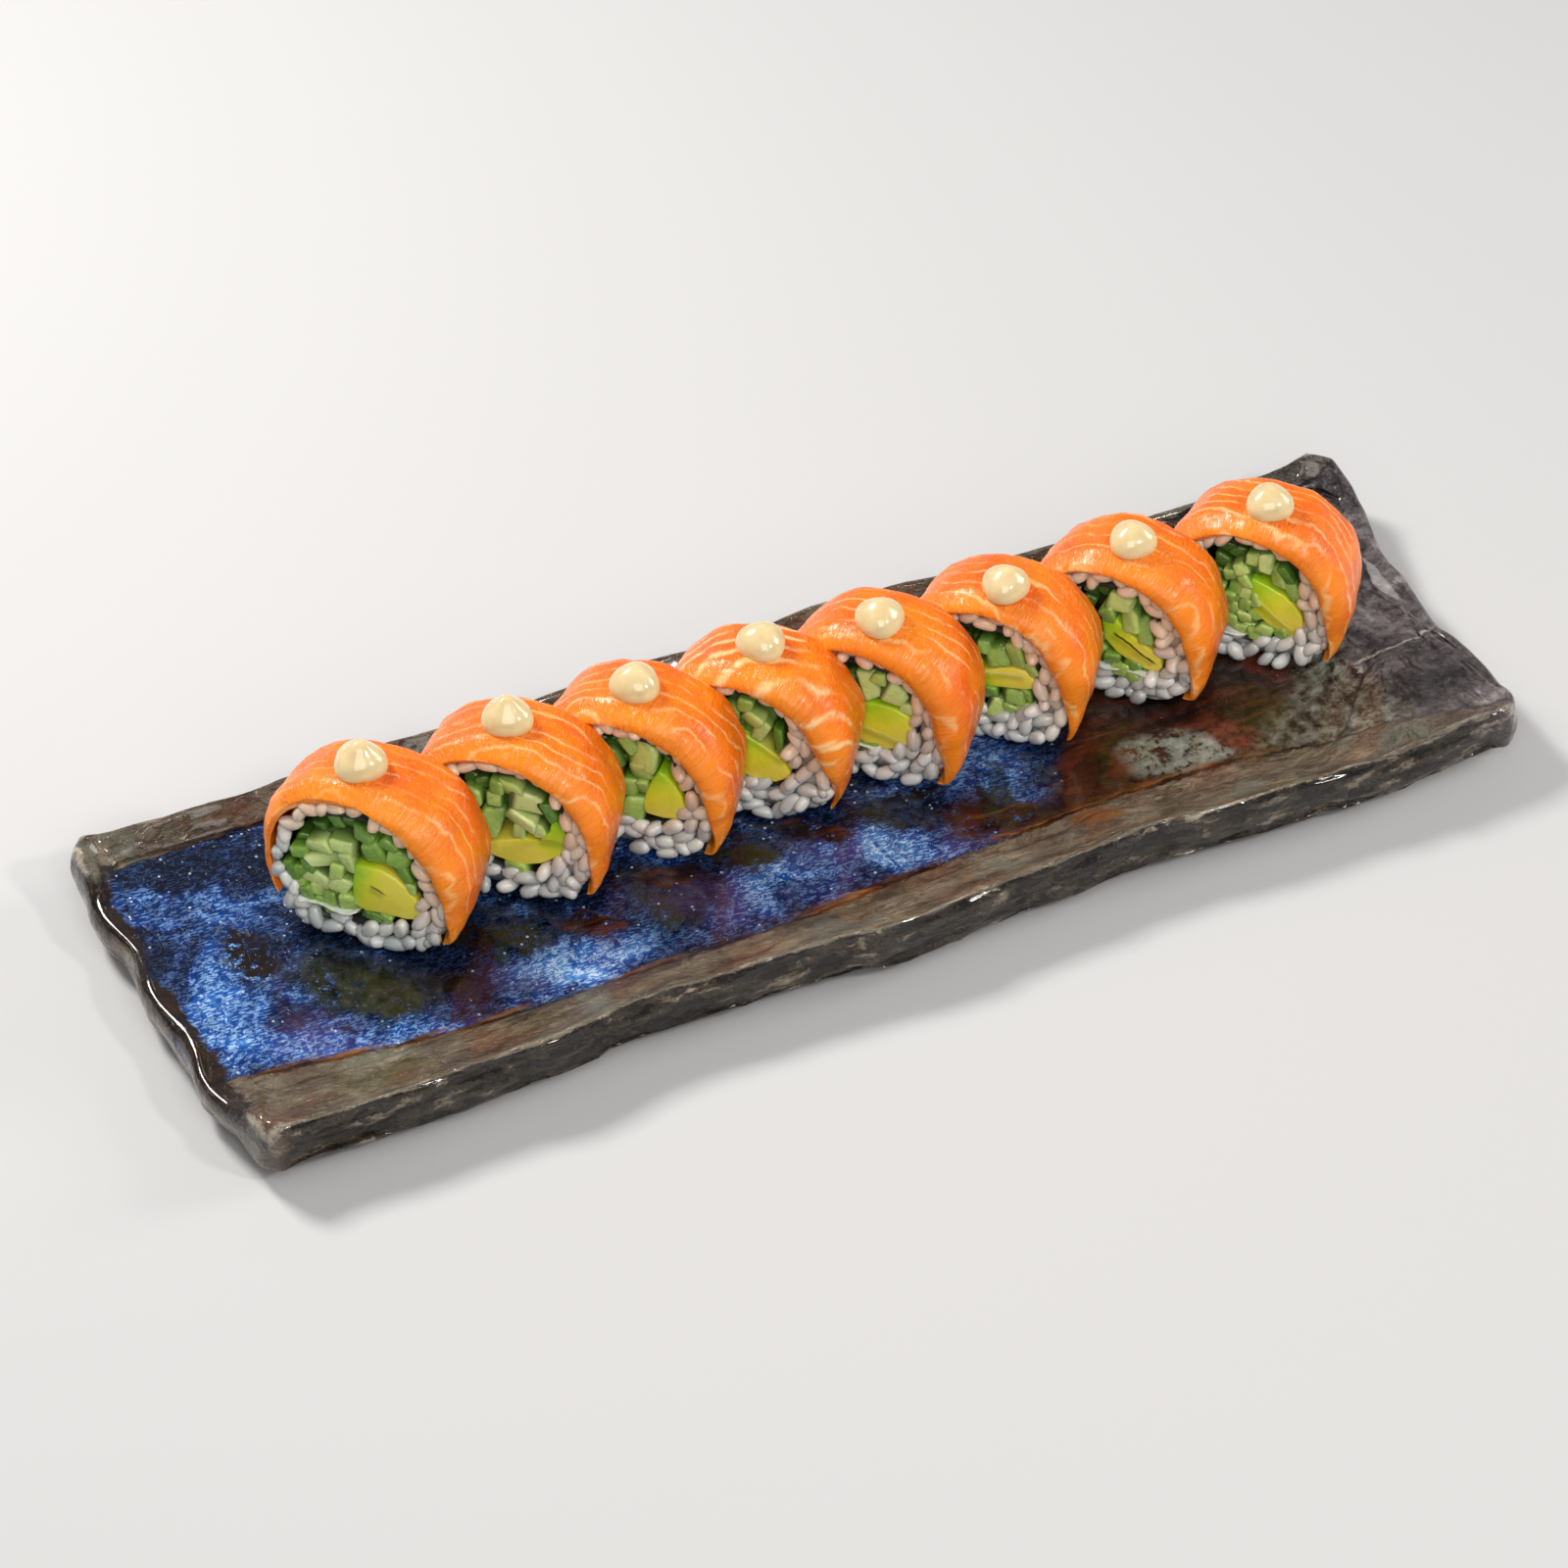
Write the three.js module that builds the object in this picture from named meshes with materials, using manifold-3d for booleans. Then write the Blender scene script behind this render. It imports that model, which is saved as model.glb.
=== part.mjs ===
// Eight pieces of uramaki on their long hand-made platter.
// Millimetres, +Z up, +X along the platter; the origin is under the platter's middle, at its foot.
// Each piece is a slice of an inside-out roll: rice round a thin sheet of seaweed, cucumber sticks and
// avocado inside it, a slice of salmon draped over the top, and a dollop of sauce on the salmon.

import * as THREE from 'three';
import { mergeVertices } from 'three/addons/utils/BufferGeometryUtils.js';
import Module from 'manifold-3d';

const wasm = await Module();
wasm.setup();

// Driving dimensions of the platter
const PLATTER_HALF_LENGTH = 177;
const PLATTER_HALF_WIDTH = 58.5;
const FLOOR_Z = 12.5;
const RIM_Z = 18.8;
const END_LIP_Z = 13.8;
const NEAR_SLOPE_LEFT = 20;
const NEAR_SLOPE_RIGHT = 14;
const FAR_SLOPE = 8.5;
const SHOULDER_FROM_X = 134;
const SHOULDER_EXTRA = 22;
const CORNER_RADIUS = 7;
const POINTS_NEAR = 23;
const POINTS_FAR = 19;
const POINTS_END = 13;
const POINTS_CORNER = 4;

// Driving dimensions of a roll slice of size 1
const SLICE_DEPTH = 21;
const RICE_HALF_WIDTH = 21.5;
const RICE_HEIGHT = 41;
const SALMON_THICKNESS = 4.2;
const SALMON_OVERHANG = 0.7;
const NORI_THICKNESS = 0.5;
const GAP = 0.3;
const ROUND_POINTS = 18;
const GRAIN_LENGTH = 6.4;
const GRAIN_WIDTH = 3.4;
const GRAIN_PROUD = 1.1;
const GRAINS_IN_FRONT = 8;
const GRAINS_BEHIND = 4;
const STICK_WIDTH = 4.4;
const STICK_PITCH = 6.2;
const STICKS_PER_ROLL = 5;
const DOLLOP_RADIUS = 6.2;
const DOLLOP_HEIGHT = 7.2;

// One row for each slice, from the platter's left end. foot: where the cut face stands; yaw: the way
// the roll's axis points, from +X; size: scale of the slice; hole: middle, half width, middle height
// and half height of the filling; avocado: corners of its cut section; dollop: its place along the
// axis and across it; tips: how far down the salmon's left and right ends reach, in degrees below
// level; swept: how far the right end of the salmon is drawn back from the cut face.
const SLICES = [
  { foot: [-122.2, -2.4], yaw: 43, size: 1.04, riceShift: -0.8, riceExtra: 0.7,
    hole: [-2.2, 18.6, 21.5, 17.3], cream: [-17, -2], peak: 1.6, dollop: [9.6, -3.3], tips: [28, 52], swept: 0,
    avocado: [[-2, 24], [5, 24.3], [12, 20], [15.5, 11.5], [5, 10.3], [-3, 11]] },
  { foot: [-84.6, -1.7], yaw: 47.5, size: 1.02, riceShift: 0, riceExtra: 0,
    hole: [-0.6, 17.6, 22.3, 15.8], cream: null, peak: 1.4, dollop: [10.2, -1.7], tips: [26, 50], swept: 0,
    avocado: [[-8, 14], [3, 18.2], [10.5, 20], [12.5, 27], [16.5, 20], [11, 13], [2, 10]] },
  { foot: [-51, -1], yaw: 46, size: 1.0, riceShift: 0, riceExtra: 0,
    hole: [-1, 16, 22.7, 13.3], cream: null, peak: 0.5, dollop: [8.3, -0.7], tips: [26, 56], swept: 0,
    avocado: [[7.5, 27.5], [11.5, 24.5], [14.6, 17], [13.5, 13.2], [4, 13], [4.2, 20]] },
  { foot: [-18.4, -0.9], yaw: 46, size: 0.99, riceShift: 0, riceExtra: 0,
    hole: [-2.4, 14.4, 22.8, 14.2], cream: null, peak: 0.2, dollop: [10.1, 0.1], tips: [26, 50], swept: 3.5,
    avocado: [[-4, 25.5], [4, 21.7], [9.6, 17], [10.4, 11.5], [0, 11], [-5, 15]] },
  { foot: [14.2, -2], yaw: 43, size: 0.99, riceShift: 0, riceExtra: 0,
    hole: [-2.5, 14.6, 21, 13.8], cream: [-8, 1], peak: 0.5, dollop: [5.9, 0.4], tips: [26, 56], swept: 0,
    avocado: [[-5, 23], [2, 23.6], [10.5, 21.5], [11, 13], [4.5, 9.5], [-5, 12]] },
  { foot: [48.5, -2], yaw: 44, size: 0.965, riceShift: 0, riceExtra: 0,
    hole: [-2.4, 14.6, 19.6, 13.9], cream: null, peak: 0.5, dollop: [5, 1.3], tips: [26, 48], swept: 0,
    avocado: [[-6, 20], [2, 22.3], [8.4, 23], [11.6, 19.4], [9, 17], [-6, 15.5]] },
  { foot: [83.6, -2], yaw: 41, size: 0.965, riceShift: 0, riceExtra: 0,
    hole: [-2, 15, 19.2, 14.8], cream: [-4, 10], peak: 0.5, dollop: [7, 1], tips: [26, 56], swept: 0,
    avocado: [[-4, 28], [3.9, 20.8], [12, 15.5], [11.6, 10.8], [4.3, 12], [-3, 17.5]] },
  { foot: [121.3, -4.9], yaw: 43, size: 0.975, riceShift: 0, riceExtra: 0,
    hole: [-1.6, 16, 21, 15.4], cream: [-8, 0], peak: 0.5, dollop: [7, 1.2], tips: [26, 52], swept: 0,
    avocado: [[-0.5, 26], [8.6, 22.6], [13.4, 17], [13.8, 10.6], [8, 10.7], [0.5, 16]] },
];

const FINISH = {
  platter: { color: 0x2b3d6b, roughness: 0.22, metalness: 0 },
  rice: { color: 0xe4e2d8, roughness: 0.45, metalness: 0 },
  nori: { color: 0x14181a, roughness: 0.6, metalness: 0 },
  cucumber: { color: 0x8fb768, roughness: 0.35, metalness: 0 },
  avocado: { color: 0xc8c53c, roughness: 0.5, metalness: 0 },
  cream: { color: 0xf2f0e6, roughness: 0.5, metalness: 0 },
  salmon: { color: 0xf08a3c, roughness: 0.3, metalness: 0 },
  dollop: { color: 0xe2d6a2, roughness: 0.3, metalness: 0 },
};

const radians = THREE.MathUtils.degToRad;
const mix = THREE.MathUtils.lerp;
const ease = THREE.MathUtils.smoothstep;

// A seeded draw between 0 and 1, so that the food lies alike each time
function makeDraw(seed) {
  let state = seed;
  return () => {
    state = (state * 1664525 + 1013904223) % 4294967296;
    return state / 4294967296;
  };
}

// Closed solid from rings of points: each ring joins the next, and either the last ring joins the
// first or both ends are closed by a fan about their middle
function loft(rings, joinEnds = false) {
  const count = rings[0].length;
  const positions = rings.flat().flatMap((p) => [p.x, p.y, p.z]);
  const faces = [];
  const strips = joinEnds ? rings.length : rings.length - 1;
  for (let k = 0; k < strips; k += 1) {
    const low = k * count;
    const high = ((k + 1) % rings.length) * count;
    for (let i = 0; i < count; i += 1) {
      const j = (i + 1) % count;
      faces.push(low + i, low + j, high + j, low + i, high + j, high + i);
    }
  }
  if (!joinEnds) {
    for (const [ring, flip] of [[0, true], [rings.length - 1, false]]) {
      const middle = rings[ring].reduce((sum, p) => sum.add(p), new THREE.Vector3()).divideScalar(count);
      const hub = positions.length / 3;
      positions.push(middle.x, middle.y, middle.z);
      for (let i = 0; i < count; i += 1) {
        const a = ring * count + i;
        const b = ring * count + ((i + 1) % count);
        faces.push(...(flip ? [hub, b, a] : [hub, a, b]));
      }
    }
  }
  return facingOut(positions, faces);
}

// Turns a closed mesh so that its faces point outwards
function facingOut(positions, faces) {
  const geometry = new THREE.BufferGeometry();
  geometry.setAttribute('position', new THREE.Float32BufferAttribute(positions, 3));
  geometry.setIndex(faces);
  if (signedVolume(geometry) < 0) {
    for (let i = 0; i < faces.length; i += 3) {
      [faces[i + 1], faces[i + 2]] = [faces[i + 2], faces[i + 1]];
    }
    geometry.setIndex(faces);
  }
  return geometry;
}

function signedVolume(geometry) {
  const position = geometry.getAttribute('position');
  const index = geometry.getIndex();
  const corner = [0, 1, 2].map(() => new THREE.Vector3());
  let volume = 0;
  for (let i = 0; i < index.count; i += 3) {
    corner.forEach((c, n) => c.fromBufferAttribute(position, index.getX(i + n)));
    volume += corner[0].dot(corner[1].clone().cross(corner[2])) / 6;
  }
  return volume;
}

// Between three.js geometry and solids that can be joined and cut
function solidOf(geometry) {
  const bare = geometry.clone();
  bare.deleteAttribute('normal');
  bare.deleteAttribute('uv');
  const merged = mergeVertices(bare, 1e-4);
  return new wasm.Manifold(new wasm.Mesh({
    numProp: 3,
    vertProperties: new Float32Array(merged.getAttribute('position').array),
    triVerts: new Uint32Array(merged.getIndex().array),
  }));
}

function geometryOf(solid) {
  const mesh = solid.getMesh();
  const geometry = new THREE.BufferGeometry();
  geometry.setAttribute('position', new THREE.Float32BufferAttribute(mesh.vertProperties, 3));
  geometry.setIndex([...mesh.triVerts]);
  return geometry;
}

// The largest body of a solid: loose scraps left by a cut are dropped
function largestBody(solid) {
  const bodies = solid.decompose();
  return bodies.reduce((best, body) => (body.volume() > best.volume() ? body : best));
}

function piece(name, kind, geometry) {
  geometry.computeVertexNormals();
  const mesh = new THREE.Mesh(geometry, new THREE.MeshStandardMaterial({ name: kind, ...FINISH[kind] }));
  mesh.name = name;
  return mesh;
}

// The platter. Its outline runs round a rectangle with round corners, in parts of its half sizes.
function platterOutline() {
  const cornerU = CORNER_RADIUS / PLATTER_HALF_LENGTH;
  const cornerV = CORNER_RADIUS / PLATTER_HALF_WIDTH;
  const points = [];
  const side = (from, to, count) => {
    for (let i = 0; i < count; i += 1) {
      points.push([mix(from[0], to[0], i / count), mix(from[1], to[1], i / count)]);
    }
  };
  const corner = (signU, signV, start) => {
    for (let i = 0; i < POINTS_CORNER; i += 1) {
      const turn = radians(start + (90 * i) / POINTS_CORNER);
      const u = signU * (1 - cornerU) + cornerU * Math.cos(turn);
      const v = signV * (1 - cornerV) + cornerV * Math.sin(turn);
      points.push([u, v]);
    }
  };
  side([-1 + cornerU, -1], [1 - cornerU, -1], POINTS_NEAR);
  corner(1, -1, 270);
  side([1, -1 + cornerV], [1, 1 - cornerV], POINTS_END);
  corner(1, 1, 0);
  side([1 - cornerU, 1], [-1 + cornerU, 1], POINTS_FAR);
  corner(-1, 1, 90);
  side([-1, 1 - cornerV], [-1, -1 + cornerV], POINTS_END);
  corner(-1, -1, 180);
  return points;
}

// The four torn, wavy edges of the slab
const wave = (x, length, start) => Math.cos((2 * Math.PI * (x - start)) / length);
const leftEdge = (y) => -PLATTER_HALF_LENGTH - 1.3 * wave(y, 33, 35) + 4 * ease(-y, 34, 62) - 1.5 * ease(y, 44, 56);
const rightEdge = (y) => 173.5 + 7 * ease(y, 0, 44) - 1.2 * wave(y, 40, 24);
const nearEdge = (x) => -PLATTER_HALF_WIDTH - 0.5 + 1.6 * wave(x, 125, -62) + 0.6 * wave(x, 47, 20)
  - 2.5 * ease(-x, 140, 172);
const farEdge = (x) => PLATTER_HALF_WIDTH - 0.3 + 0.9 * wave(x, 70, -168) - 5 * ease(x, 20, 120)
  + 3 * ease(x, 140, 160);

// How wide the slope from the near rim down to the glaze is, with the raised shoulder at the right
const shoulder = (x) => ease(x, SHOULDER_FROM_X, SHOULDER_FROM_X + 16);
const nearSlope = (x) => mix(NEAR_SLOPE_LEFT, NEAR_SLOPE_RIGHT, (x + PLATTER_HALF_LENGTH) / 354)
  + SHOULDER_EXTRA * shoulder(x);

// Rings of the slab's section, from the foot up the outside, over the rim and down to the glaze.
// end, near, far: how far the ring lies inside the edge; low, high: its height at the ends and sides.
function platterRings() {
  const steps = [
    { end: 24, near: () => 17, far: 17, low: 0, high: 0 },
    { end: 23, near: () => 16, far: 16, low: 2.6, high: 2.6 },
    { end: 3.6, near: () => 3, far: 3, low: 5, high: 4.8 },
    { end: 1, near: () => 0.7, far: 0.7, low: 6.4, high: 6.2 },
    { end: 0, near: () => 0, far: 0, low: 9.4, high: 9.8 },
    { end: 0.6, near: () => 0.2, far: 0.3, low: 12.2, high: 15.8 },
    { end: 1.7, near: () => 0.8, far: 1, low: 13.4, high: RIM_Z - 0.7 },
    { end: 2.9, near: () => 2, far: 2.2, low: END_LIP_Z, high: RIM_Z },
    { end: 4.4, near: () => 4.2, far: 3.8, low: END_LIP_Z - 0.4, high: RIM_Z - 0.9 },
    { end: 6, near: (x) => nearSlope(x) * mix(0.62, 0.84, shoulder(x)), far: 6.2, low: 12.9, high: 14.9 },
    { end: 8, near: nearSlope, far: FAR_SLOPE, low: FLOOR_Z + 0.1, high: FLOOR_Z + 0.1 },
    { end: 11, near: (x) => nearSlope(x) + 3, far: FAR_SLOPE + 3, low: FLOOR_Z, high: FLOOR_Z },
  ];
  const outline = platterOutline();
  return steps.map((step) => outline.map(([u, v]) => {
    const roughX = u * PLATTER_HALF_LENGTH;
    const roughY = v * PLATTER_HALF_WIDTH;
    const x = mix(leftEdge(roughY) + step.end, rightEdge(roughY) - step.end, (u + 1) / 2);
    const y = mix(nearEdge(roughX) + step.near(roughX), farEdge(roughX) - step.far, (v + 1) / 2);
    const side = ease(Math.abs(v), 0.68, 0.9);
    return new THREE.Vector3(x, y, mix(step.low, step.high, side));
  }));
}

// Outlines in a slice's cut face, as [across, up] pairs
function riceOutline(slice, shrink = 0, points = ROUND_POINTS) {
  const halfWidth = RICE_HALF_WIDTH * slice.size + slice.riceExtra;
  const halfHeight = (RICE_HEIGHT * slice.size) / 2;
  return Array.from({ length: points }, (_, i) => ricePoint(slice, (360 * i) / points, halfWidth - shrink,
    halfHeight - shrink / 2));
}

// Squarer than an ellipse: the roll has sagged on the platter
const blunt = (value, power) => Math.sign(value) * Math.abs(value) ** power;

function ricePoint(slice, degrees, halfWidth, halfHeight) {
  const turn = radians(degrees);
  const sag = Math.sin(turn) < 0 ? 0.8 : 0.92;
  return [slice.riceShift + halfWidth * blunt(Math.cos(turn), sag),
    GAP + halfHeight * (1 + blunt(Math.sin(turn), sag))];
}

// The filling's outline leans to the right and is wider below, on its right
function holeOutline(slice) {
  const [middle, halfWidth, height, halfHeight] = slice.hole;
  return Array.from({ length: ROUND_POINTS }, (_, i) => {
    const turn = (2 * Math.PI * i) / ROUND_POINTS;
    const rise = blunt(Math.sin(turn), 0.8);
    const reach = blunt(Math.cos(turn), 0.8);
    const taper = reach > 0 ? 1 - 0.22 * rise : 1;
    return [middle + 1.8 * rise + halfWidth * reach * taper, height + halfHeight * rise];
  });
}

// Moves an outline outwards, square to itself
function grown(outline, distance) {
  const count = outline.length;
  return outline.map(([across, up], i) => {
    const [beforeX, beforeY] = outline[(i + count - 1) % count];
    const [afterX, afterY] = outline[(i + 1) % count];
    const normal = new THREE.Vector2(afterY - beforeY, beforeX - afterX).normalize();
    return [across + distance * normal.x, up + distance * normal.y];
  });
}

// A slice's own directions: x along the roll's axis, y to the left across the face, z up
const along = (outline, depth) => outline.map(([across, up]) => new THREE.Vector3(depth, -across, up));

const prism = (outline, from, to) => loft([along(outline, from), along(outline, to)]);

// A closed curve through a few corners, rounded between them and running the way that turns grow
function rounded(corners, points) {
  const curve = new THREE.SplineCurve([...corners, corners[0]].map(([a, b]) => new THREE.Vector2(a, b)));
  const outline = curve.getPoints(points).slice(0, points);
  if (THREE.ShapeUtils.isClockWise(outline)) outline.reverse();
  return outline.map((p) => [p.x, p.y]);
}

function inside(outline, [across, up]) {
  let within = false;
  outline.forEach(([ax, ay], i) => {
    const [bx, by] = outline[(i + 1) % outline.length];
    if ((ay > up) !== (by > up) && across < ((bx - ax) * (up - ay)) / (by - ay) + ax) within = !within;
  });
  return within;
}

// Rice: a ring with whole grains standing out of both cut faces
function riceSolid(slice, draw) {
  const depth = SLICE_DEPTH * slice.size;
  const outer = riceOutline(slice);
  const outerBack = riceOutline(slice, 1.2);
  const inner = grown(holeOutline(slice), NORI_THICKNESS + 2 * GAP);
  const ring = solidOf(loft([along(outer, 0), along(outerBack, depth), along(inner, depth), along(inner, 0)], true));
  const grains = [];
  for (const [face, count] of [[0, GRAINS_IN_FRONT], [depth, GRAINS_BEHIND]]) {
    for (let i = 0; i < count; i += 1) {
      const index = Math.floor(((i + 0.5 * draw()) * ROUND_POINTS) / count);
      const rim = (face === 0 ? outer : outerBack)[index];
      const bore = inner[index];
      const thickness = Math.hypot(rim[0] - bore[0], rim[1] - bore[1]);
      grains.push(grain([(rim[0] + bore[0]) / 2, (rim[1] + bore[1]) / 2], face, thickness, index, draw));
    }
  }
  const reach = GRAIN_WIDTH;
  const outside = solidOf(loft([along(outer, -reach), along(outer, 0), along(outerBack, depth),
    along(outerBack, depth + reach)]));
  const bore = solidOf(prism(inner, -reach - 1, depth + reach + 1));
  const joined = wasm.Manifold.union([ring, ...grains]).intersect(outside).subtract(bore);
  return largestBody(joined);
}

// One grain lying in the ring, turned along it
function grain([across, up], face, thickness, index, draw) {
  const geometry = new THREE.SphereGeometry(0.5, 5, 4);
  const width = Math.min(GRAIN_WIDTH, thickness * 0.94);
  geometry.scale(GRAIN_WIDTH, width, GRAIN_LENGTH * (0.85 + 0.2 * draw()));
  geometry.rotateX(radians(-360 * (index / ROUND_POINTS) + 20 * (draw() - 0.5)));
  const sunk = (GRAIN_WIDTH / 2 - GRAIN_PROUD) * (face === 0 ? 1 : -1);
  geometry.translate(face + sunk, -across, up);
  return solidOf(geometry);
}

function noriSolid(slice) {
  const inner = grown(holeOutline(slice), GAP);
  const outer = grown(holeOutline(slice), GAP + NORI_THICKNESS);
  const front = 0.4;
  const back = SLICE_DEPTH * slice.size - 0.4;
  return loft([along(outer, front), along(outer, back), along(inner, back), along(inner, front)], true);
}

function avocadoSolid(slice, extra, from, to) {
  const section = rounded(slice.avocado, 12);
  return solidOf(prism(extra > 0 ? grown(section, extra) : section, from, to));
}

// Cream cheese: a thin smear along the bottom of the filling, between two places across
function creamSolid(slice, extra, from, to) {
  const hole = holeOutline(slice);
  const above = hole.map(([across, up]) => [across, up + 2 + extra]);
  const [left, right] = slice.cream;
  const box = new THREE.BoxGeometry(to - from + 2, right - left + 2 * extra, 12);
  box.translate((from + to) / 2, -(left + right) / 2, slice.hole[2] - slice.hole[3] + 5);
  const smear = solidOf(prism(hole, from, to)).subtract(solidOf(prism(above, from - 1, to + 1)));
  return largestBody(smear.intersect(solidOf(box)));
}

// Cucumber: a bundle of sticks, its core held back a little and the sticks' ends standing out of it
function cucumberSolid(slice, draw) {
  const depth = SLICE_DEPTH * slice.size;
  const hole = holeOutline(slice);
  const kept = grown(hole, -STICK_WIDTH * 0.72);
  const avoided = grown(rounded(slice.avocado, 12), STICK_WIDTH * 0.66);
  const core = solidOf(prism(hole, 1.4, depth - 1.4));
  const sticks = [];
  for (const place of stickPlaces(slice)) {
    if (sticks.length < STICKS_PER_ROLL && inside(kept, place) && !inside(avoided, place)) {
      const stick = new THREE.BoxGeometry(depth - 0.4 - draw(), STICK_WIDTH, STICK_WIDTH * (0.9 + 0.4 * draw()));
      stick.rotateX(radians(90 * draw()));
      stick.translate(depth / 2, -place[0], place[1]);
      sticks.push(solidOf(stick));
    }
  }
  let bundle = wasm.Manifold.union([core, ...sticks]);
  bundle = bundle.intersect(solidOf(prism(hole, 0, depth)));
  bundle = bundle.subtract(avocadoSolid(slice, GAP, -1, depth + 1));
  if (slice.cream) bundle = bundle.subtract(creamSolid(slice, GAP, -1, depth + 1));
  return largestBody(bundle);
}

// Places for the sticks, in staggered rows from the top of the filling down
function stickPlaces(slice) {
  const [middle, halfWidth, height, halfHeight] = slice.hole;
  const places = [];
  for (let row = 0; row * STICK_PITCH < 2 * halfHeight; row += 1) {
    const up = height + halfHeight - 4 - row * STICK_PITCH * 0.9;
    for (let across = -halfWidth; across < halfWidth; across += STICK_PITCH) {
      places.push([middle + across + (row % 2) * STICK_PITCH * 0.5 + 2, up]);
    }
  }
  return places;
}

// The salmon's turns round the roll, in degrees: its two ends, and the rice outline's corners between
function salmonTurns(slice) {
  const [leftTip, rightTip] = slice.tips;
  const step = 360 / ROUND_POINTS;
  const corners = [];
  for (let turn = -Math.floor(rightTip / step) * step; turn < 180 + leftTip; turn += step) corners.push(turn);
  return [-rightTip, ...corners, 180 + leftTip];
}

// Salmon: one slice draped over the rice from its left end to its right end, thin at both ends and
// rounded down a little at its front and back edges
function salmonSolid(slice, lift = 0) {
  const depth = SLICE_DEPTH * slice.size;
  const halfWidth = RICE_HALF_WIDTH * slice.size + slice.riceExtra;
  const halfHeight = (RICE_HEIGHT * slice.size) / 2;
  const turns = salmonTurns(slice);
  const stations = [0, 0.14, 0.8, 1];
  const crown = [0.9, 0, 0.5, 2.1];
  const rings = stations.map((station, s) => {
    const outer = [];
    const inner = [];
    for (const degrees of turns) {
      const part = (degrees - turns[0]) / (turns.at(-1) - turns[0]);
      const taper = 0.28 + 0.72 * ease(part, 0, 0.22) * ease(1 - part, 0, 0.2);
      const drawnBack = slice.swept * (1 - ease(part, 0, 0.3)) * (1 - station);
      const position = mix(-SALMON_OVERHANG, depth + SALMON_OVERHANG, station) + drawnBack;
      const narrowed = 1.2 * THREE.MathUtils.clamp(position / depth, 0, 1);
      const under = ricePoint(slice, degrees, halfWidth - narrowed + GAP, halfHeight - narrowed / 2 + GAP);
      const thickness = Math.max(SALMON_THICKNESS * taper - crown[s] * taper, 0.6);
      const away = new THREE.Vector2(under[0] - slice.riceShift, under[1] - halfHeight).normalize();
      const over = [under[0] + thickness * away.x, Math.max(under[1] + thickness * away.y, GAP)];
      inner.push(new THREE.Vector3(position, -under[0], under[1] + lift));
      outer.push(new THREE.Vector3(position, -over[0], over[1] + lift));
    }
    return [...outer, ...inner.reverse()];
  });
  return bandLoft(rings, turns.length);
}

// Joins rings that are made of an outer and an inner arc, and closes the two ends across the band
function bandLoft(rings, arcPoints) {
  const count = rings[0].length;
  const positions = rings.flat().flatMap((p) => [p.x, p.y, p.z]);
  const faces = [];
  for (let k = 0; k < rings.length - 1; k += 1) {
    for (let i = 0; i < count; i += 1) {
      const j = (i + 1) % count;
      const low = k * count;
      const high = low + count;
      faces.push(low + i, low + j, high + j, low + i, high + j, high + i);
    }
  }
  for (let i = 0; i < arcPoints - 1; i += 1) {
    const across = count - 1 - i;
    faces.push(i, across, across - 1, i, across - 1, i + 1);
    const last = (rings.length - 1) * count;
    faces.push(last + i, last + across - 1, last + across, last + i, last + i + 1, last + across - 1);
  }
  return facingOut(positions, faces);
}

// Dollop of sauce: a low round heap with a small peak, seated on the salmon's curve
function dollopSolid(slice) {
  const scale = slice.size;
  const radius = DOLLOP_RADIUS * scale;
  const height = DOLLOP_HEIGHT * scale;
  const profile = [
    [0, -3], [radius * 0.9, -3], [radius, height * 0.22], [radius * 0.8, height * 0.66], [radius * 0.36, height * 0.92],
    [0, height + slice.peak],
  ];
  const heap = new THREE.LatheGeometry(profile.map(([r, z]) => new THREE.Vector2(r, z)), 10);
  heap.rotateX(Math.PI / 2);
  const [place, across] = slice.dollop;
  const top = (RICE_HEIGHT * scale) + GAP + SALMON_THICKNESS;
  heap.translate(place, -across, top - 0.6);
  const body = solidOf(heap).subtract(solidOf(salmonSolid(slice, GAP)));
  return body.decompose().reduce((high, part) => (
    part.boundingBox().max[2] > high.boundingBox().max[2] ? part : high));
}

function slicePieces(slice, number) {
  const draw = makeDraw(101 * number + 7);
  const depth = SLICE_DEPTH * slice.size;
  const hole = solidOf(prism(holeOutline(slice), -1, depth + 1));
  const group = new THREE.Group();
  group.add(piece(`rice_${number}`, 'rice', geometryOf(riceSolid(slice, draw))));
  group.add(piece(`nori_${number}`, 'nori', noriSolid(slice)));
  group.add(piece(`cucumber_${number}`, 'cucumber', geometryOf(cucumberSolid(slice, draw))));
  const avocado = avocadoSolid(slice, 0, 0.2, depth - 0.2).intersect(hole);
  group.add(piece(`avocado_${number}`, 'avocado', geometryOf(largestBody(avocado))));
  if (slice.cream) {
    const cream = creamSolid(slice, 0, 0.3, depth - 0.3).subtract(avocadoSolid(slice, GAP, -1, depth + 1));
    group.add(piece(`cream_${number}`, 'cream', geometryOf(largestBody(cream))));
  }
  group.add(piece(`salmon_${number}`, 'salmon', salmonSolid(slice)));
  group.add(piece(`dollop_${number}`, 'dollop', geometryOf(dollopSolid(slice))));
  group.position.set(slice.foot[0], slice.foot[1], FLOOR_Z);
  group.rotation.z = radians(slice.yaw);
  return group;
}

const platter = piece('platter', 'platter', loft(platterRings()));
const sushi = new THREE.Group();
sushi.add(platter);
SLICES.forEach((slice, i) => sushi.add(slicePieces(slice, i + 1)));

// The origin goes under the middle of the platter
const middle = new THREE.Box3().setFromObject(platter).getCenter(new THREE.Vector3());
sushi.position.set(-middle.x, -middle.y, 0);

export default sushi;
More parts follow.
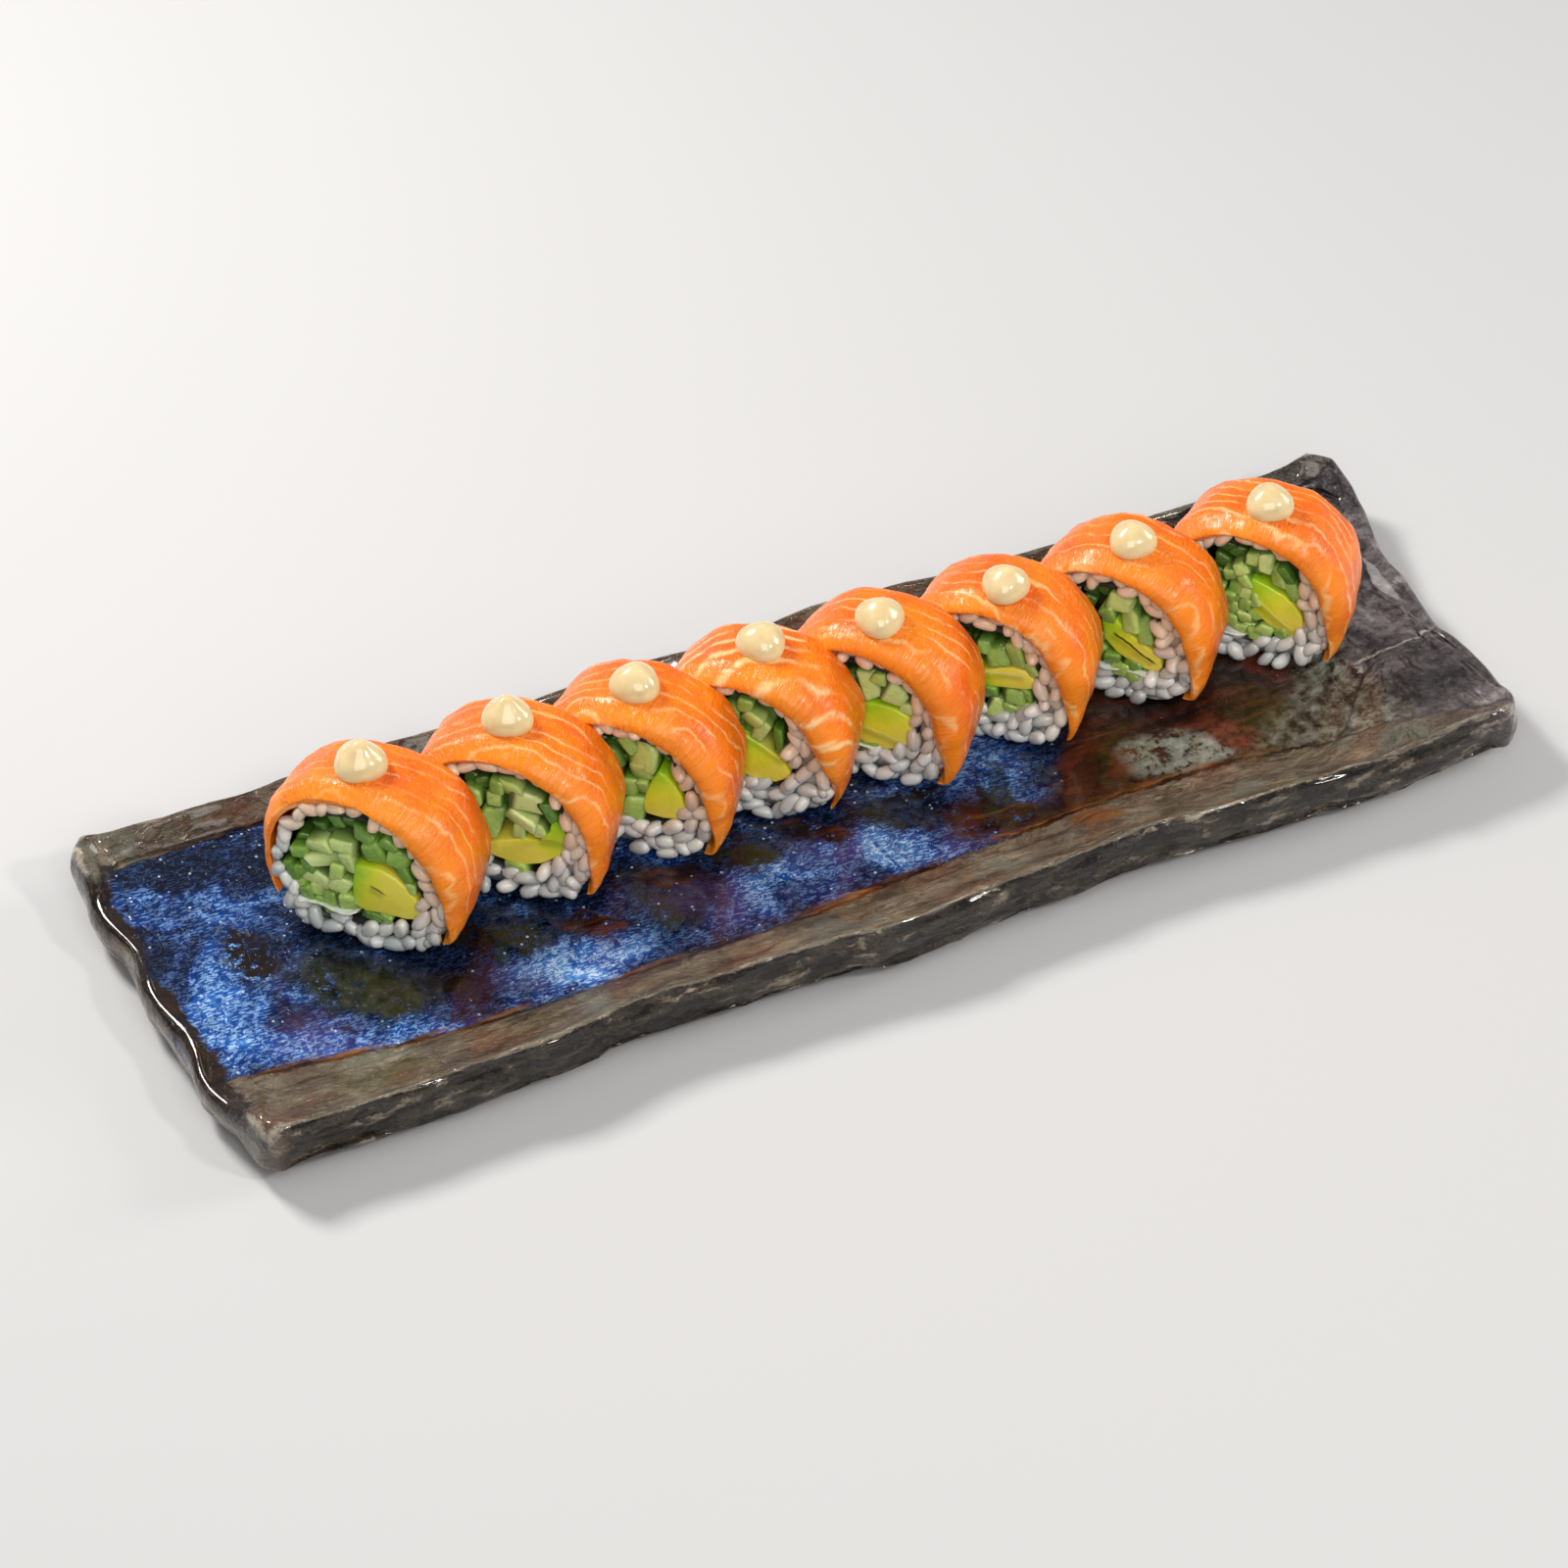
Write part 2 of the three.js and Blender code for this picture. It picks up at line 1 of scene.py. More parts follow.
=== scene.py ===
# %% [markdown]
# # Eight slices of uramaki on a long stoneware platter
# An uramaki is an inside-out roll: the rice is outside, a sheet of nori is inside it, and the filling is
# cucumber and avocado. Each slice here wears a draped slice of salmon and a dollop of sauce. The solids
# that come with the frame have the true sizes and places. This lesson gives them their surfaces and
# models what is too fine for a solid: single grains of rice, cucumber sticks and the relief of the clay.

# %% Load the fixed frame
import math
import bpy
import numpy as np
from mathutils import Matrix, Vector


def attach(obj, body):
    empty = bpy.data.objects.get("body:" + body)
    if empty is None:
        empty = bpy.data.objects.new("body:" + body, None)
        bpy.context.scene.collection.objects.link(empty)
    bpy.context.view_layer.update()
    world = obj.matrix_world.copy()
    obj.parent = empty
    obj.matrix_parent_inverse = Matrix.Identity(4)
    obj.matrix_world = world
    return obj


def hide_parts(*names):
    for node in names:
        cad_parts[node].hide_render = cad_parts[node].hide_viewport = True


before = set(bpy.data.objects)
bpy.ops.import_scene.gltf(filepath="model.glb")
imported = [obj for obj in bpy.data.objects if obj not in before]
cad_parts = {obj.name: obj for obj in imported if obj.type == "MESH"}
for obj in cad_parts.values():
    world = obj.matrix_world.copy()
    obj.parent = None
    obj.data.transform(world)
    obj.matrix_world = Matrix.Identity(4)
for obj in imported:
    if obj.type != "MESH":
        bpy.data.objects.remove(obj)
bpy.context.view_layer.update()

MM = 0.001

# %% [markdown]
# ## Camera
# The picture was taken with a long lens from the front left, well above the platter. A long lens keeps
# the platter's long edges almost parallel, so the camera stands far away and is narrow.

# %% Camera
LENS = 135.0
SENSOR = 36.0
CAMERA_DISTANCE = 1455.1 * MM
CAMERA_TARGET = Vector((-10.63, -0.31, 18.0)) * MM
CAMERA_TURN = math.radians(26.46)
CAMERA_TILT = math.radians(41.22)
UP = Vector((0, 0, 1))
AHEAD = Vector((math.sin(CAMERA_TURN), math.cos(CAMERA_TURN), 0))
RIGHT = Vector((math.cos(CAMERA_TURN), -math.sin(CAMERA_TURN), 0))


def aim(piece, target):
    """Turn a camera or a light so that it looks at a point."""
    piece.rotation_euler = (target - piece.location).to_track_quat("-Z", "Y").to_euler()


view_line = AHEAD * math.cos(CAMERA_TILT) - UP * math.sin(CAMERA_TILT)
bpy.ops.object.camera_add(location=CAMERA_TARGET - view_line * CAMERA_DISTANCE)
camera = bpy.context.object
camera.data.lens = LENS
camera.data.sensor_width = SENSOR
aim(camera, CAMERA_TARGET)
bpy.context.scene.camera = camera
print("camera at", [round(v, 3) for v in camera.location])

# %% [markdown]
# ## Light and floor
# Wet fish and glaze are told apart from dull things by their highlights. So one strong soft box stands
# high at the back left, where the highlights on the sauce say that it was. A broad weak light in front
# opens the shadows on the cut faces, and one at the right keeps that end from going dark. The last two
# are there for their glints alone, on the bead of glaze at the near rim and on the platter's right end.
# The floor is plain and pale.

# %% Light and floor
KEY_FROM = UP * 0.72 + AHEAD * 0.40 - RIGHT * 0.57
FRONT_FROM = UP * 0.75 - AHEAD * 0.75 + RIGHT * 0.10
SIDE_FROM = UP * 0.45 + AHEAD * 0.25 + RIGHT * 0.85
GLINT_FROM = Vector((0.335, -0.642, 0.675))
END_FROM = AHEAD * 0.752 + UP * 0.659 + Vector((0.133, -0.012, 0.0))
LAMP_COLOUR = (1.0, 0.96, 0.91)
SKY_COLOUR = (0.97, 0.98, 1.0, 1.0)
SKY_STRENGTH = 0.22
FLOOR_SIZE = 4.0


def soft_box(name, direction, distance, size, watts):
    """Add a square area light that looks at the middle of the platter, in metres and watts."""
    spot = CAMERA_TARGET + direction.normalized() * distance
    bpy.ops.object.light_add(type="AREA", location=spot)
    light = bpy.context.object
    light.name = name
    light.data.size = size
    light.data.energy = watts
    light.data.color = LAMP_COLOUR
    aim(light, CAMERA_TARGET)


soft_box("key_light", KEY_FROM, distance=1.1, size=0.24, watts=12.0)
soft_box("front_light", FRONT_FROM, distance=1.5, size=0.9, watts=10.5)
soft_box("side_light", SIDE_FROM, distance=1.4, size=0.5, watts=6.5)
soft_box("glint_light", GLINT_FROM, distance=1.3, size=0.12, watts=4.5)
soft_box("end_light", END_FROM, distance=END_FROM.length * 1.2, size=0.09, watts=0.15)
world = bpy.data.worlds.new("studio")
world.use_nodes = True
world.node_tree.nodes["Background"].inputs["Color"].default_value = SKY_COLOUR
world.node_tree.nodes["Background"].inputs["Strength"].default_value = SKY_STRENGTH
bpy.context.scene.world = world
bpy.context.scene.view_settings.view_transform = "Standard"

bpy.ops.mesh.primitive_plane_add(size=FLOOR_SIZE)
floor = bpy.context.object
floor.name = "studio_floor"
print("five lights and a floor")

# %% [markdown]
# ## Small tools of the workshop
# The frame leaves all of its nodes selected, and an operator acts on everything that is selected. So one
# helper deselects first. The others add a modifier and apply it, copy a solid of the frame into a new,
# merged mesh, read and write its points, and hand a finished piece over, hiding the frame's node for it.

# %% Helpers for objects
MERGE_WITHIN = 0.02 * MM
CAGE_LEVELS = 2


def pick(piece):
    """Select one object alone and make it the active one."""
    bpy.ops.object.select_all(action="DESELECT")
    piece.select_set(True)
    bpy.context.view_layer.objects.active = piece


def apply_modifier(piece, kind, **settings):
    """Add a modifier with these settings and apply it at once."""
    pick(piece)
    modifier = piece.modifiers.new(kind.lower(), kind)
    for key, value in settings.items():
        setattr(modifier, key, value)
    bpy.ops.object.modifier_apply(modifier=modifier.name)


def in_edit_mode(piece, *steps):
    """Run edit-mode steps on a whole mesh."""
    pick(piece)
    bpy.ops.object.mode_set(mode="EDIT")
    bpy.ops.mesh.select_all(action="SELECT")
    for step in steps:
        step()
    bpy.ops.object.mode_set(mode="OBJECT")


def merged_copy(node, name):
    """A copy of a frame solid as one joined skin of quads, apart from the frame."""
    piece = bpy.data.objects.new(name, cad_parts[node].data.copy())
    piece.data.name = name
    piece.data.materials.clear()
    bpy.context.collection.objects.link(piece)
    in_edit_mode(
        piece,
        lambda: bpy.ops.mesh.remove_doubles(threshold=MERGE_WITHIN),
        lambda: bpy.ops.mesh.tris_convert_to_quads(face_threshold=0.9, shape_threshold=1.2),
    )
    return piece


def spots_of(piece):
    """The mesh's vertices as an array of points, in metres."""
    flat = np.empty(len(piece.data.vertices) * 3)
    piece.data.vertices.foreach_get("co", flat)
    return flat.reshape(-1, 3)


def move_to(piece, points):
    """Write the vertices back."""
    piece.data.vertices.foreach_set("co", np.asarray(points).ravel())
    piece.data.update()


def store(piece, name, rows):
    """Keep a vector for each vertex, for the finish to read."""
    layer = piece.data.attributes.new(name, "FLOAT_VECTOR", "POINT")
    layer.data.foreach_set("vector", np.asarray(rows, dtype=float).ravel())


def hold_size(piece, rounds=3):
    """Push the cage out until its subdivided skin passes through the points that it started from."""
    wanted = spots_of(piece)
    for _ in range(rounds):
        trial = bpy.data.objects.new("trial", piece.data.copy())
        bpy.context.collection.objects.link(trial)
        apply_modifier(trial, "SUBSURF", levels=CAGE_LEVELS, render_levels=CAGE_LEVELS)
        reached = spots_of(trial)[:len(wanted)]
        bpy.data.objects.remove(trial)
        move_to(piece, spots_of(piece) + (wanted - reached))


def finish_piece(piece, slot, *nodes):
    """Smooth the piece, let it ride with the platter, and hide the frame's nodes that it stands for."""
    pick(piece)
    bpy.ops.object.shade_smooth()
    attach(piece, "root")
    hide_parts(*nodes)
    return piece


# %% [markdown]
# ## Helpers for finishes
# Every finish is a net of nodes under a Principled shader. Patterns are laid out in millimetres, so a
# node multiplies the Object coordinates by a thousand first, and each size below is then the real size of
# the thing it draws. The short names times, plus, minus and step keep the long sums of masks readable.

# %% Helpers for finishes
def paint(red, green, blue):
    """A colour as seen on screen, 0 to 255, turned into the linear values that nodes work with."""
    shown = (red, green, blue)
    linear = [((v / 255 + 0.055) / 1.055) ** 2.4 if v > 10 else v / 255 / 12.92 for v in shown]
    return (*linear, 1.0)


class Finish:
    """A material and short ways to add nodes to it."""

    def __init__(self, name, **shader_values):
        self.material = bpy.data.materials.new(name)
        self.material.use_nodes = True
        self.tree = self.material.node_tree
        self.shader = self.tree.nodes["Principled BSDF"]
        for key, value in shader_values.items():
            self.shader.inputs[key.replace("_", " ")].default_value = value

    def add(self, kind, inputs, **settings):
        node = self.tree.nodes.new("ShaderNode" + kind)
        for key, value in settings.items():
            setattr(node, key, value)
        for key, value in inputs.items():
            if isinstance(value, bpy.types.NodeSocket):
                self.tree.links.new(value, node.inputs[key])
            else:
                node.inputs[key].default_value = value
        return node

    def place(self):
        """Object coordinates in millimetres."""
        here = self.add("TexCoord", {}).outputs["Object"]
        return self.add("VectorMath", {0: here, "Scale": 1 / MM}, operation="SCALE").outputs["Vector"]

    def attribute(self, name):
        return self.add("Attribute", {}, attribute_name=name)

    def split(self, vector):
        return self.add("SeparateXYZ", {"Vector": vector}).outputs

    def math(self, operation, a, b=0.0, clamp=False):
        return self.add("Math", {0: a, 1: b}, operation=operation, use_clamp=clamp).outputs[0]

    def times(self, first, *others):
        for other in others:
            first = self.math("MULTIPLY", first, other)
        return first

    def plus(self, a, b, clamp=False):
        return self.math("ADD", a, b, clamp)

    def minus(self, a, b, clamp=False):
        return self.math("SUBTRACT", a, b, clamp)

    def off_middle(self, value):
        """How far a pattern is from its middle value, a half, to either side."""
        return self.math("ABSOLUTE", self.minus(value, 0.5))

    def turned(self, vector, scale=(1, 1, 1), turn=(0, 0, 0), shift=(0, 0, 0)):
        turn = [math.radians(v) for v in turn]
        inputs = {"Vector": vector, "Scale": scale, "Rotation": turn, "Location": shift}
        return self.add("Mapping", inputs).outputs["Vector"]

    def noise(self, vector, size, detail=3.0, roughness=0.5, distortion=0.0, output="Fac"):
        inputs = {"Vector": vector, "Scale": 1 / size, "Detail": detail, "Roughness": roughness}
        inputs["Distortion"] = distortion
        return self.add("TexNoise", inputs).outputs[output]

    def step(self, value, start, end):
        """0 before start, 1 after end, smooth between, for either order."""
        inputs = {"Value": value, "From Min": start, "From Max": end}
        return self.add("MapRange", inputs, interpolation_type="SMOOTHSTEP").outputs["Result"]

    def ramp(self, value, *stops):
        node = self.add("ValToRGB", {"Fac": value})
        band = node.color_ramp
        while len(band.elements) < len(stops):
            band.elements.new(0.5)
        for element, (position, colour) in zip(band.elements, stops):
            element.position = position
            element.color = colour
        return node.outputs["Color"]

    def curve(self, value, *points):
        """A smooth line through these points, over values from 0 to 1."""
        node = self.add("FloatCurve", {"Value": value})
        line = node.mapping.curves[0]
        for position, height in points[1:-1]:
            line.points.new(position, height)
        line.points[0].location = points[0]
        line.points[len(points) - 1].location = points[-1]
        node.mapping.update()
        return node.outputs["Value"]

    def mix(self, share, below, above, blend="MIX"):
        node = self.add("Mix", {0: share, 6: below, 7: above}, data_type="RGBA", blend_type=blend)
        return node.outputs[2]

    def wobbled(self, vector, size, reach):
        """The same coordinates pushed about by noise, to break straight edges."""
        push = self.noise(vector, size, 4.0, 0.6, output="Color")
        push = self.add("VectorMath", {0: push, 1: (0.5, 0.5, 0.5)}, operation="SUBTRACT").outputs["Vector"]
        push = self.add("VectorMath", {0: push, "Scale": 2 * reach}, operation="SCALE").outputs["Vector"]
        return self.add("VectorMath", {0: vector, 1: push}, operation="ADD").outputs["Vector"]

    def patch(self, vector, centre, radii, turn=0.0, soft=0.45):
        """1 inside an oval, 0 outside it."""
        centred = self.turned(vector, shift=(-centre[0], -centre[1], 0))
        local = self.turned(centred, turn=(0, 0, -turn))
        flat = self.add("VectorMath", {0: local, 1: (1 / radii[0], 1 / radii[1], 0)}, operation="MULTIPLY")
        reach = self.add("VectorMath", {0: flat.outputs["Vector"]}, operation="LENGTH").outputs["Value"]
        return self.step(reach, 1 + soft, 1 - soft)

    def colour(self, value):
        self.tree.links.new(value, self.shader.inputs["Base Color"])

    def roughness(self, value):
        self.tree.links.new(value, self.shader.inputs["Roughness"])

    def bump(self, height, depth_mm, strength=1.0):
        node = self.add("Bump", {"Height": height, "Distance": depth_mm * MM, "Strength": strength})
        self.tree.links.new(node.outputs["Normal"], self.shader.inputs["Normal"])


def wear(piece, finish):
    piece.data.materials.clear()
    piece.data.materials.append(finish.material)


floor_finish = Finish("plain_floor", Base_Color=paint(192, 193, 195), Roughness=0.9)
wear(floor, floor_finish)
print("helpers ready")

# %% [markdown]
# ## The platter
# The slab is hand-built stoneware: the clay was torn at the ends and pressed up along the sides, so its
# walls are lumpy and ridged while the floor is flat under its pool of glaze. A merged copy of the frame's
# platter has the right outline. It is subdivided, and then Displace modifiers push its rims and walls
# about, held off the flat floor by a weight for each vertex. So the first thing is to know how far each
# vertex lies from the edges.

# %% Platter: distance from the edges
FLOOR_Z = 12.5 * MM
PLATTER_LEVELS = 2
EDGE_STEP = 3.0


def edge_gaps(points):
    """How far each point lies inside the near edge, the far edge and the nearer end, in millimetres."""
    x, y = points[:, 0] / MM, points[:, 1] / MM
    columns = np.arange(-174, 175, EDGE_STEP)
    rows = np.arange(-54, 55, EDGE_STEP)
    near = [y[np.abs(x - column) < EDGE_STEP].min() for column in columns]
    far = [y[np.abs(x - column) < EDGE_STEP].max() for column in columns]
    left = [x[np.abs(y - row) < EDGE_STEP].min() for row in rows]
    right = [x[np.abs(y - row) < EDGE_STEP].max() for row in rows]
    ends = np.minimum(x - np.interp(y, rows, left), np.interp(y, rows, right) - x)
    return np.column_stack([y - np.interp(x, columns, near), np.interp(x, columns, far) - y, ends])


def rising(values, start, width):
    """0 up to start, then a straight climb to 1 over the width."""
    return np.clip((values - start) / width, 0, 1)


def falling(values, end, width):
    """1 at first, then a straight fall over the width to 0 at the end."""
    return np.clip((end - values) / width, 0, 1)


platter = merged_copy("platter", "platter_clay")
hold_size(platter)
apply_modifier(platter, "SUBSURF", levels=PLATTER_LEVELS, render_levels=PLATTER_LEVELS)
spots = spots_of(platter)
x_mm, y_mm, height = spots[:, 0] / MM, spots[:, 1] / MM, spots[:, 2]
gaps = edge_gaps(spots)
nearest = gaps.min(axis=1)
print("platter: points are up to", round(nearest.max(), 1), "mm from an edge")

# %% Platter: where the clay is bare
POOL_HALF_LENGTH = 166 * MM
POOL_HALF_WIDTH = 44 * MM
POOL_MIDDLE_Y = 4 * MM
LIP_START = 169 * MM
WALL_TOP = 9.9 * MM
RIM_SHARE = 0.45
LEAST_SHARE_INSIDE = 0.12
raised = rising(height, FLOOR_Z + 0.3 * MM, 2.2 * MM)
in_length = np.abs(spots[:, 0]) < POOL_HALF_LENGTH
in_width = np.abs(spots[:, 1] - POOL_MIDDLE_Y) < POOL_HALF_WIDTH
below_floor = np.where(height < FLOOR_Z - 0.05 * MM, 1.0, 0.0)
pooled = in_length & in_width & (height < FLOOR_Z + 0.2 * MM)
bare = np.where(pooled, 0.0, np.maximum(raised, below_floor))
lip = rising(np.abs(spots[:, 0]), LIP_START, 4 * MM)
bare = np.maximum(bare, lip) * rising(height, 0, 3 * MM)
wall = np.maximum(falling(nearest, 2.6, 1.6), height < WALL_TOP)
inner_calm = np.clip(1 - (nearest - 5) / 6, LEAST_SHARE_INSIDE, 1)
bare = bare * (RIM_SHARE * inner_calm * (1 - wall) + wall)
store(platter, "gaps", gaps)
store(platter, "wall", np.column_stack([wall, wall, wall]))
print("platter: bare share", round(float(bare.mean()), 2))

# %% [markdown]
# ## A step, a bead and calm places
# A low step crosses the shoulder at the near right, and one bead of glaze stands on the near rim where a
# drip stopped. Both are lifted one by one, before the rough work. Where the frame's plain faces leave a
# hard crease, and at the two ends, a Smooth modifier eases the mesh first. So there are three vertex
# groups: where to smooth, where to lump the clay, and where to tear it, which the ends get least of.

# %% Platter: the step, the bead and the groups
STEP_Y = -16.8
STEP_START_X = 126
STEP_FOOT_Y = -46
STEP_RISE = 1.5 * MM
BEAD = (55.6, -40.5)
BEAD_RADII = (5.0, 2.4)
BEAD_RISE = 1.5 * MM
TOP_SIDE = 11 * MM
CREASE_START_X = 96
SMOOTH_ROUNDS = 14
step_up = falling(y_mm, STEP_Y, 1.4) * rising(x_mm, STEP_START_X, 26)
step_up *= rising(y_mm, STEP_FOOT_Y, 24) * (height > 12 * MM)
bead_x, bead_y = (x_mm - BEAD[0]) / BEAD_RADII[0], (y_mm - BEAD[1]) / BEAD_RADII[1]
bead = np.exp(-(bead_x ** 2) - bead_y ** 2) * (height > TOP_SIDE)
height += STEP_RISE * step_up + BEAD_RISE * bead
move_to(platter, spots)
crease = rising(x_mm, CREASE_START_X, 16) * rising(nearest, 4, 4) * (height > TOP_SIDE)
end_wall = falling(gaps[:, 2], 6, 4) * rising(height, 0, 2 * MM)
crease = np.maximum(crease, 0.8 * end_wall)
ends_away = np.clip((gaps[:, 2] - 5) / 7, LEAST_SHARE_INSIDE, 1)
for name, shares in (("crease", crease), ("bare_clay", bare), ("torn_clay", bare * ends_away)):
    group = platter.vertex_groups.new(name=name)
    for index, share in enumerate(shares):
        if share > 0:
            group.add([index], float(share), "REPLACE")
apply_modifier(platter, "SMOOTH", factor=0.5, iterations=SMOOTH_ROUNDS, vertex_group="crease")
print("platter: the step and the bead stand", STEP_RISE / MM, "mm proud")

# %% [markdown]
# ## Lumps, ridges and chips
# Three textures shape the bare clay: broad lumps where fingers pressed it, long ridges where it was torn,
# and chips. The ridges run along the platter, so their texture is stretched that way through a helper
# empty, which is taken away again once its modifier is applied.

# %% Platter: the relief
RIDGE_SIZE = (34 * MM, 9 * MM, 5 * MM)


def clay_texture(name, kind, size, **settings):
    """A texture for Displace modifiers."""
    texture = bpy.data.textures.new(name, kind)
    texture.noise_scale = size
    for key, value in settings.items():
        setattr(texture, key, value)
    return texture


def displace(piece, texture, strength_mm, middle=0.5, coords="LOCAL", **settings):
    """Push a mesh in and out by a texture and apply the result."""
    settings.update(texture=texture, strength=strength_mm * MM, mid_level=middle, texture_coords=coords)
    apply_modifier(piece, "DISPLACE", **settings)


stretch = bpy.data.objects.new("stretch", None)
stretch.scale = RIDGE_SIZE
bpy.context.collection.objects.link(stretch)
bpy.context.view_layer.update()
lumps = clay_texture("lumps", "CLOUDS", 13 * MM, noise_depth=1)
ridges = clay_texture("ridges", "CLOUDS", 1.0, noise_depth=3, noise_type="HARD_NOISE")
chips = clay_texture("chips", "VORONOI", 7 * MM, weight_1=-1.0, weight_2=1.0)
displace(platter, lumps, 2.4, vertex_group="bare_clay")
displace(platter, ridges, 2.4, coords="OBJECT", texture_coords_object=stretch, vertex_group="torn_clay")
displace(platter, chips, 1.5, vertex_group="torn_clay")
bpy.data.objects.remove(stretch)
finish_piece(platter, "platter", "platter")
print("platter:", len(platter.data.polygons), "faces")

# %% [markdown]
# ## The glaze
# Hare's-fur glaze separates in the kiln: where it pools thickly it goes cobalt blue with pale crystal
# needles, where it is thin it stays brown, and the bare clay at the rims is grey and olive. So the finish
# is a map. Zones are drawn from the platter's own coordinates, their borders are wobbled by noise, and
# each zone has its own small pattern. The needles are Voronoi dots stretched along several directions.

# %% Glaze: the blue pool
# Strokes of one kind: turn in degrees, length, width and seed. Curls: size, bend, width and seed.
STROKES = ((12, 3.2, 0.9, 3), (-52, 3.0, 0.85, 17), (66, 2.8, 0.85, 31))
CURLS = ((3.6, 2.2, 0.06, 5), (2.7, 2.6, 0.065, 61))


def needles(finish, place, turn, length, width, seed):
    """Short pale strokes that all point one way."""
    local = finish.turned(place, scale=(1 / length, 1 / width, 1), turn=(0, 0, turn), shift=(seed, seed, 0))
    bent = finish.wobbled(local, 3.0, 0.25)
    inputs = {"Vector": bent, "Scale": 1.0, "Randomness": 1.0}
    dots = finish.add("TexVoronoi", inputs, voronoi_dimensions="2D")
    near = finish.step(dots.outputs["Distance"], 0.36, 0.14)
    bright = finish.split(dots.outputs["Color"])["X"]
    return finish.times(near, finish.step(bright, 0.5, 0.85))


def frost(finish, place, size, bend, width, seed):
    """Curled crystals: thin contour lines of a strongly bent noise, broken into short strokes."""
    local = finish.turned(place, shift=(seed, seed, 0))
    wave = finish.noise(local, size, 1.0, 0.5, bend)
    line = finish.step(finish.off_middle(wave), width, width * 0.3)
    return finish.times(line, finish.step(finish.noise(local, size * 0.7, 2.0, 0.6), 0.51, 0.57))


# %% [markdown]
# ## Light, dark and purple in the pool
# The pool is not even: it is pale where the crystals crowd together, dark where there are few, and purple
# in places. In front of the slices the dark spots are painted shade as well. Ovals on the platter, in
# millimetres from its middle, say where. Each row gives an oval's middle, its two radii and, for light and
# dark, how strong it is. Noise wobbles them out of their shape.

# %% Glaze: spots in the pool
LIGHT_SPOTS = (
    ((-81, -31), (15, 8), 0.75), ((-163, -8), (10, 18), 0.5), ((-156, 26), (12, 8), 0.35),
    ((-150, -30), (12, 7), 0.4), ((-25, -27), (20, 7), 0.4), ((4, -28), (22, 7), 0.5),
    ((-62, -33), (12, 5), 0.3), ((42, -6), (14, 10), 0.3), ((-125, -38), (16, 5), 0.3),
)
# Dark spots: glaze with few crystals, and in front of the slices painted shade as well.
DARK_AND_SHADE_SPOTS = (
    ((-101, -12), (18, 9), 0.8), ((-150, 40), (20, 6), 0.4), ((-112, -21), (12, 8), 0.5),
    ((-50, -14), (20, 7), 0.6), ((20, -19), (14, 6), 0.5), ((-128, 8), (10, 14), 0.4),
    ((58, -14), (8, 14), 0.5),
)
PURPLE_SPOTS = (((-146, -27), (11, 8)), ((-44, -24), (16, 7)), ((-7, -21), (12, 6)), ((-96, -30), (9, 5)))
SPOT_TURN = -26
PURPLE_TURN = -30
SPOT_SOFT = 0.7
SPECK_DENSITY = 0.42
DEEP_TO_PALE_BLUE = (
    (0.0, paint(2, 7, 22)), (0.25, paint(2, 20, 60)), (0.5, paint(4, 44, 110)), (0.78, paint(18, 80, 158)),
    (1.0, paint(66, 132, 204)),
)
CRYSTAL = ((0.0, paint(56, 104, 184)), (0.5, paint(140, 186, 236)), (1.0, paint(196, 224, 248)))
SPECK = paint(206, 222, 240)
PURPLE = paint(96, 62, 104)


def pool_light(finish, place, wobbly):
    """How pale the pool is, from 0 to 1: clouds of noise, and the listed spots."""
    cloud = finish.noise(place, 20.0, 6.0, 0.62, 1.0)
    light = finish.times(finish.step(cloud, 0.38, 0.68), 0.6)
    for spots, operation in ((LIGHT_SPOTS, "ADD"), (DARK_AND_SHADE_SPOTS, "SUBTRACT")):
        for centre, radii, strength in spots:
            spot = finish.patch(wobbly, centre, radii, SPOT_TURN, SPOT_SOFT)
            light = finish.math(operation, light, finish.times(spot, strength), clamp=True)
    return light


def blue_pool(finish, place, wobbly):
    """Cobalt glaze with pale crystals, darker and purple in places."""
    light = pool_light(finish, place, wobbly)
    strokes = 0.0
    for row in STROKES:
        strokes = finish.math("MAXIMUM", strokes, needles(finish, place, *row))
    for row in CURLS:
        strokes = finish.math("MAXIMUM", strokes, frost(finish, place, *row))
    crowded = finish.times(finish.math("POWER", light, 1.5), 0.8)
    amount = finish.plus(crowded, 0.16, clamp=True)
    base = finish.ramp(light, *DEEP_TO_PALE_BLUE)
    blue = finish.mix(finish.times(strokes, amount), base, finish.ramp(light, *CRYSTAL))
    specks = finish.add("TexVoronoi", {"Vector": place, "Scale": SPECK_DENSITY, "Randomness": 1.0})
    lit = finish.step(finish.split(specks.outputs["Color"])["X"], 0.55, 0.9)
    speck = finish.times(finish.step(specks.outputs["Distance"], 0.2, 0.1), lit)
    blue = finish.mix(finish.times(speck, 0.7), blue, SPECK)
    purple = 0.0
    for centre, radii in PURPLE_SPOTS:
        spot = finish.patch(wobbly, centre, radii, PURPLE_TURN, SPOT_SOFT)
        purple = finish.math("MAXIMUM", purple, spot)
    blue = finish.mix(finish.times(purple, 0.45), blue, finish.mix(0.5, blue, PURPLE))
    return blue, strokes


glaze = Finish("stoneware_glaze", Coat_Weight=0.6, Coat_Roughness=0.06, Specular_IOR_Level=0.25)
place = glaze.place()
wobbly = glaze.wobbled(glaze.wobbled(place, 16.0, 7.0), 4.5, 2.2)
fine_wobbly = glaze.wobbled(place, 3.6, 1.6)
blue, strokes = blue_pool(glaze, place, wobbly)
print("glaze: the pool has", len(LIGHT_SPOTS) + len(DARK_AND_SHADE_SPOTS), "light and dark spots")

# %% [markdown]
# ## Brown pools inside the blue
# Where the iron in the glaze gathered, the blue has dark pools in it: brown, near black or olive. Their
# colours come from streaks along the platter, and small holes in each pool let the blue through.

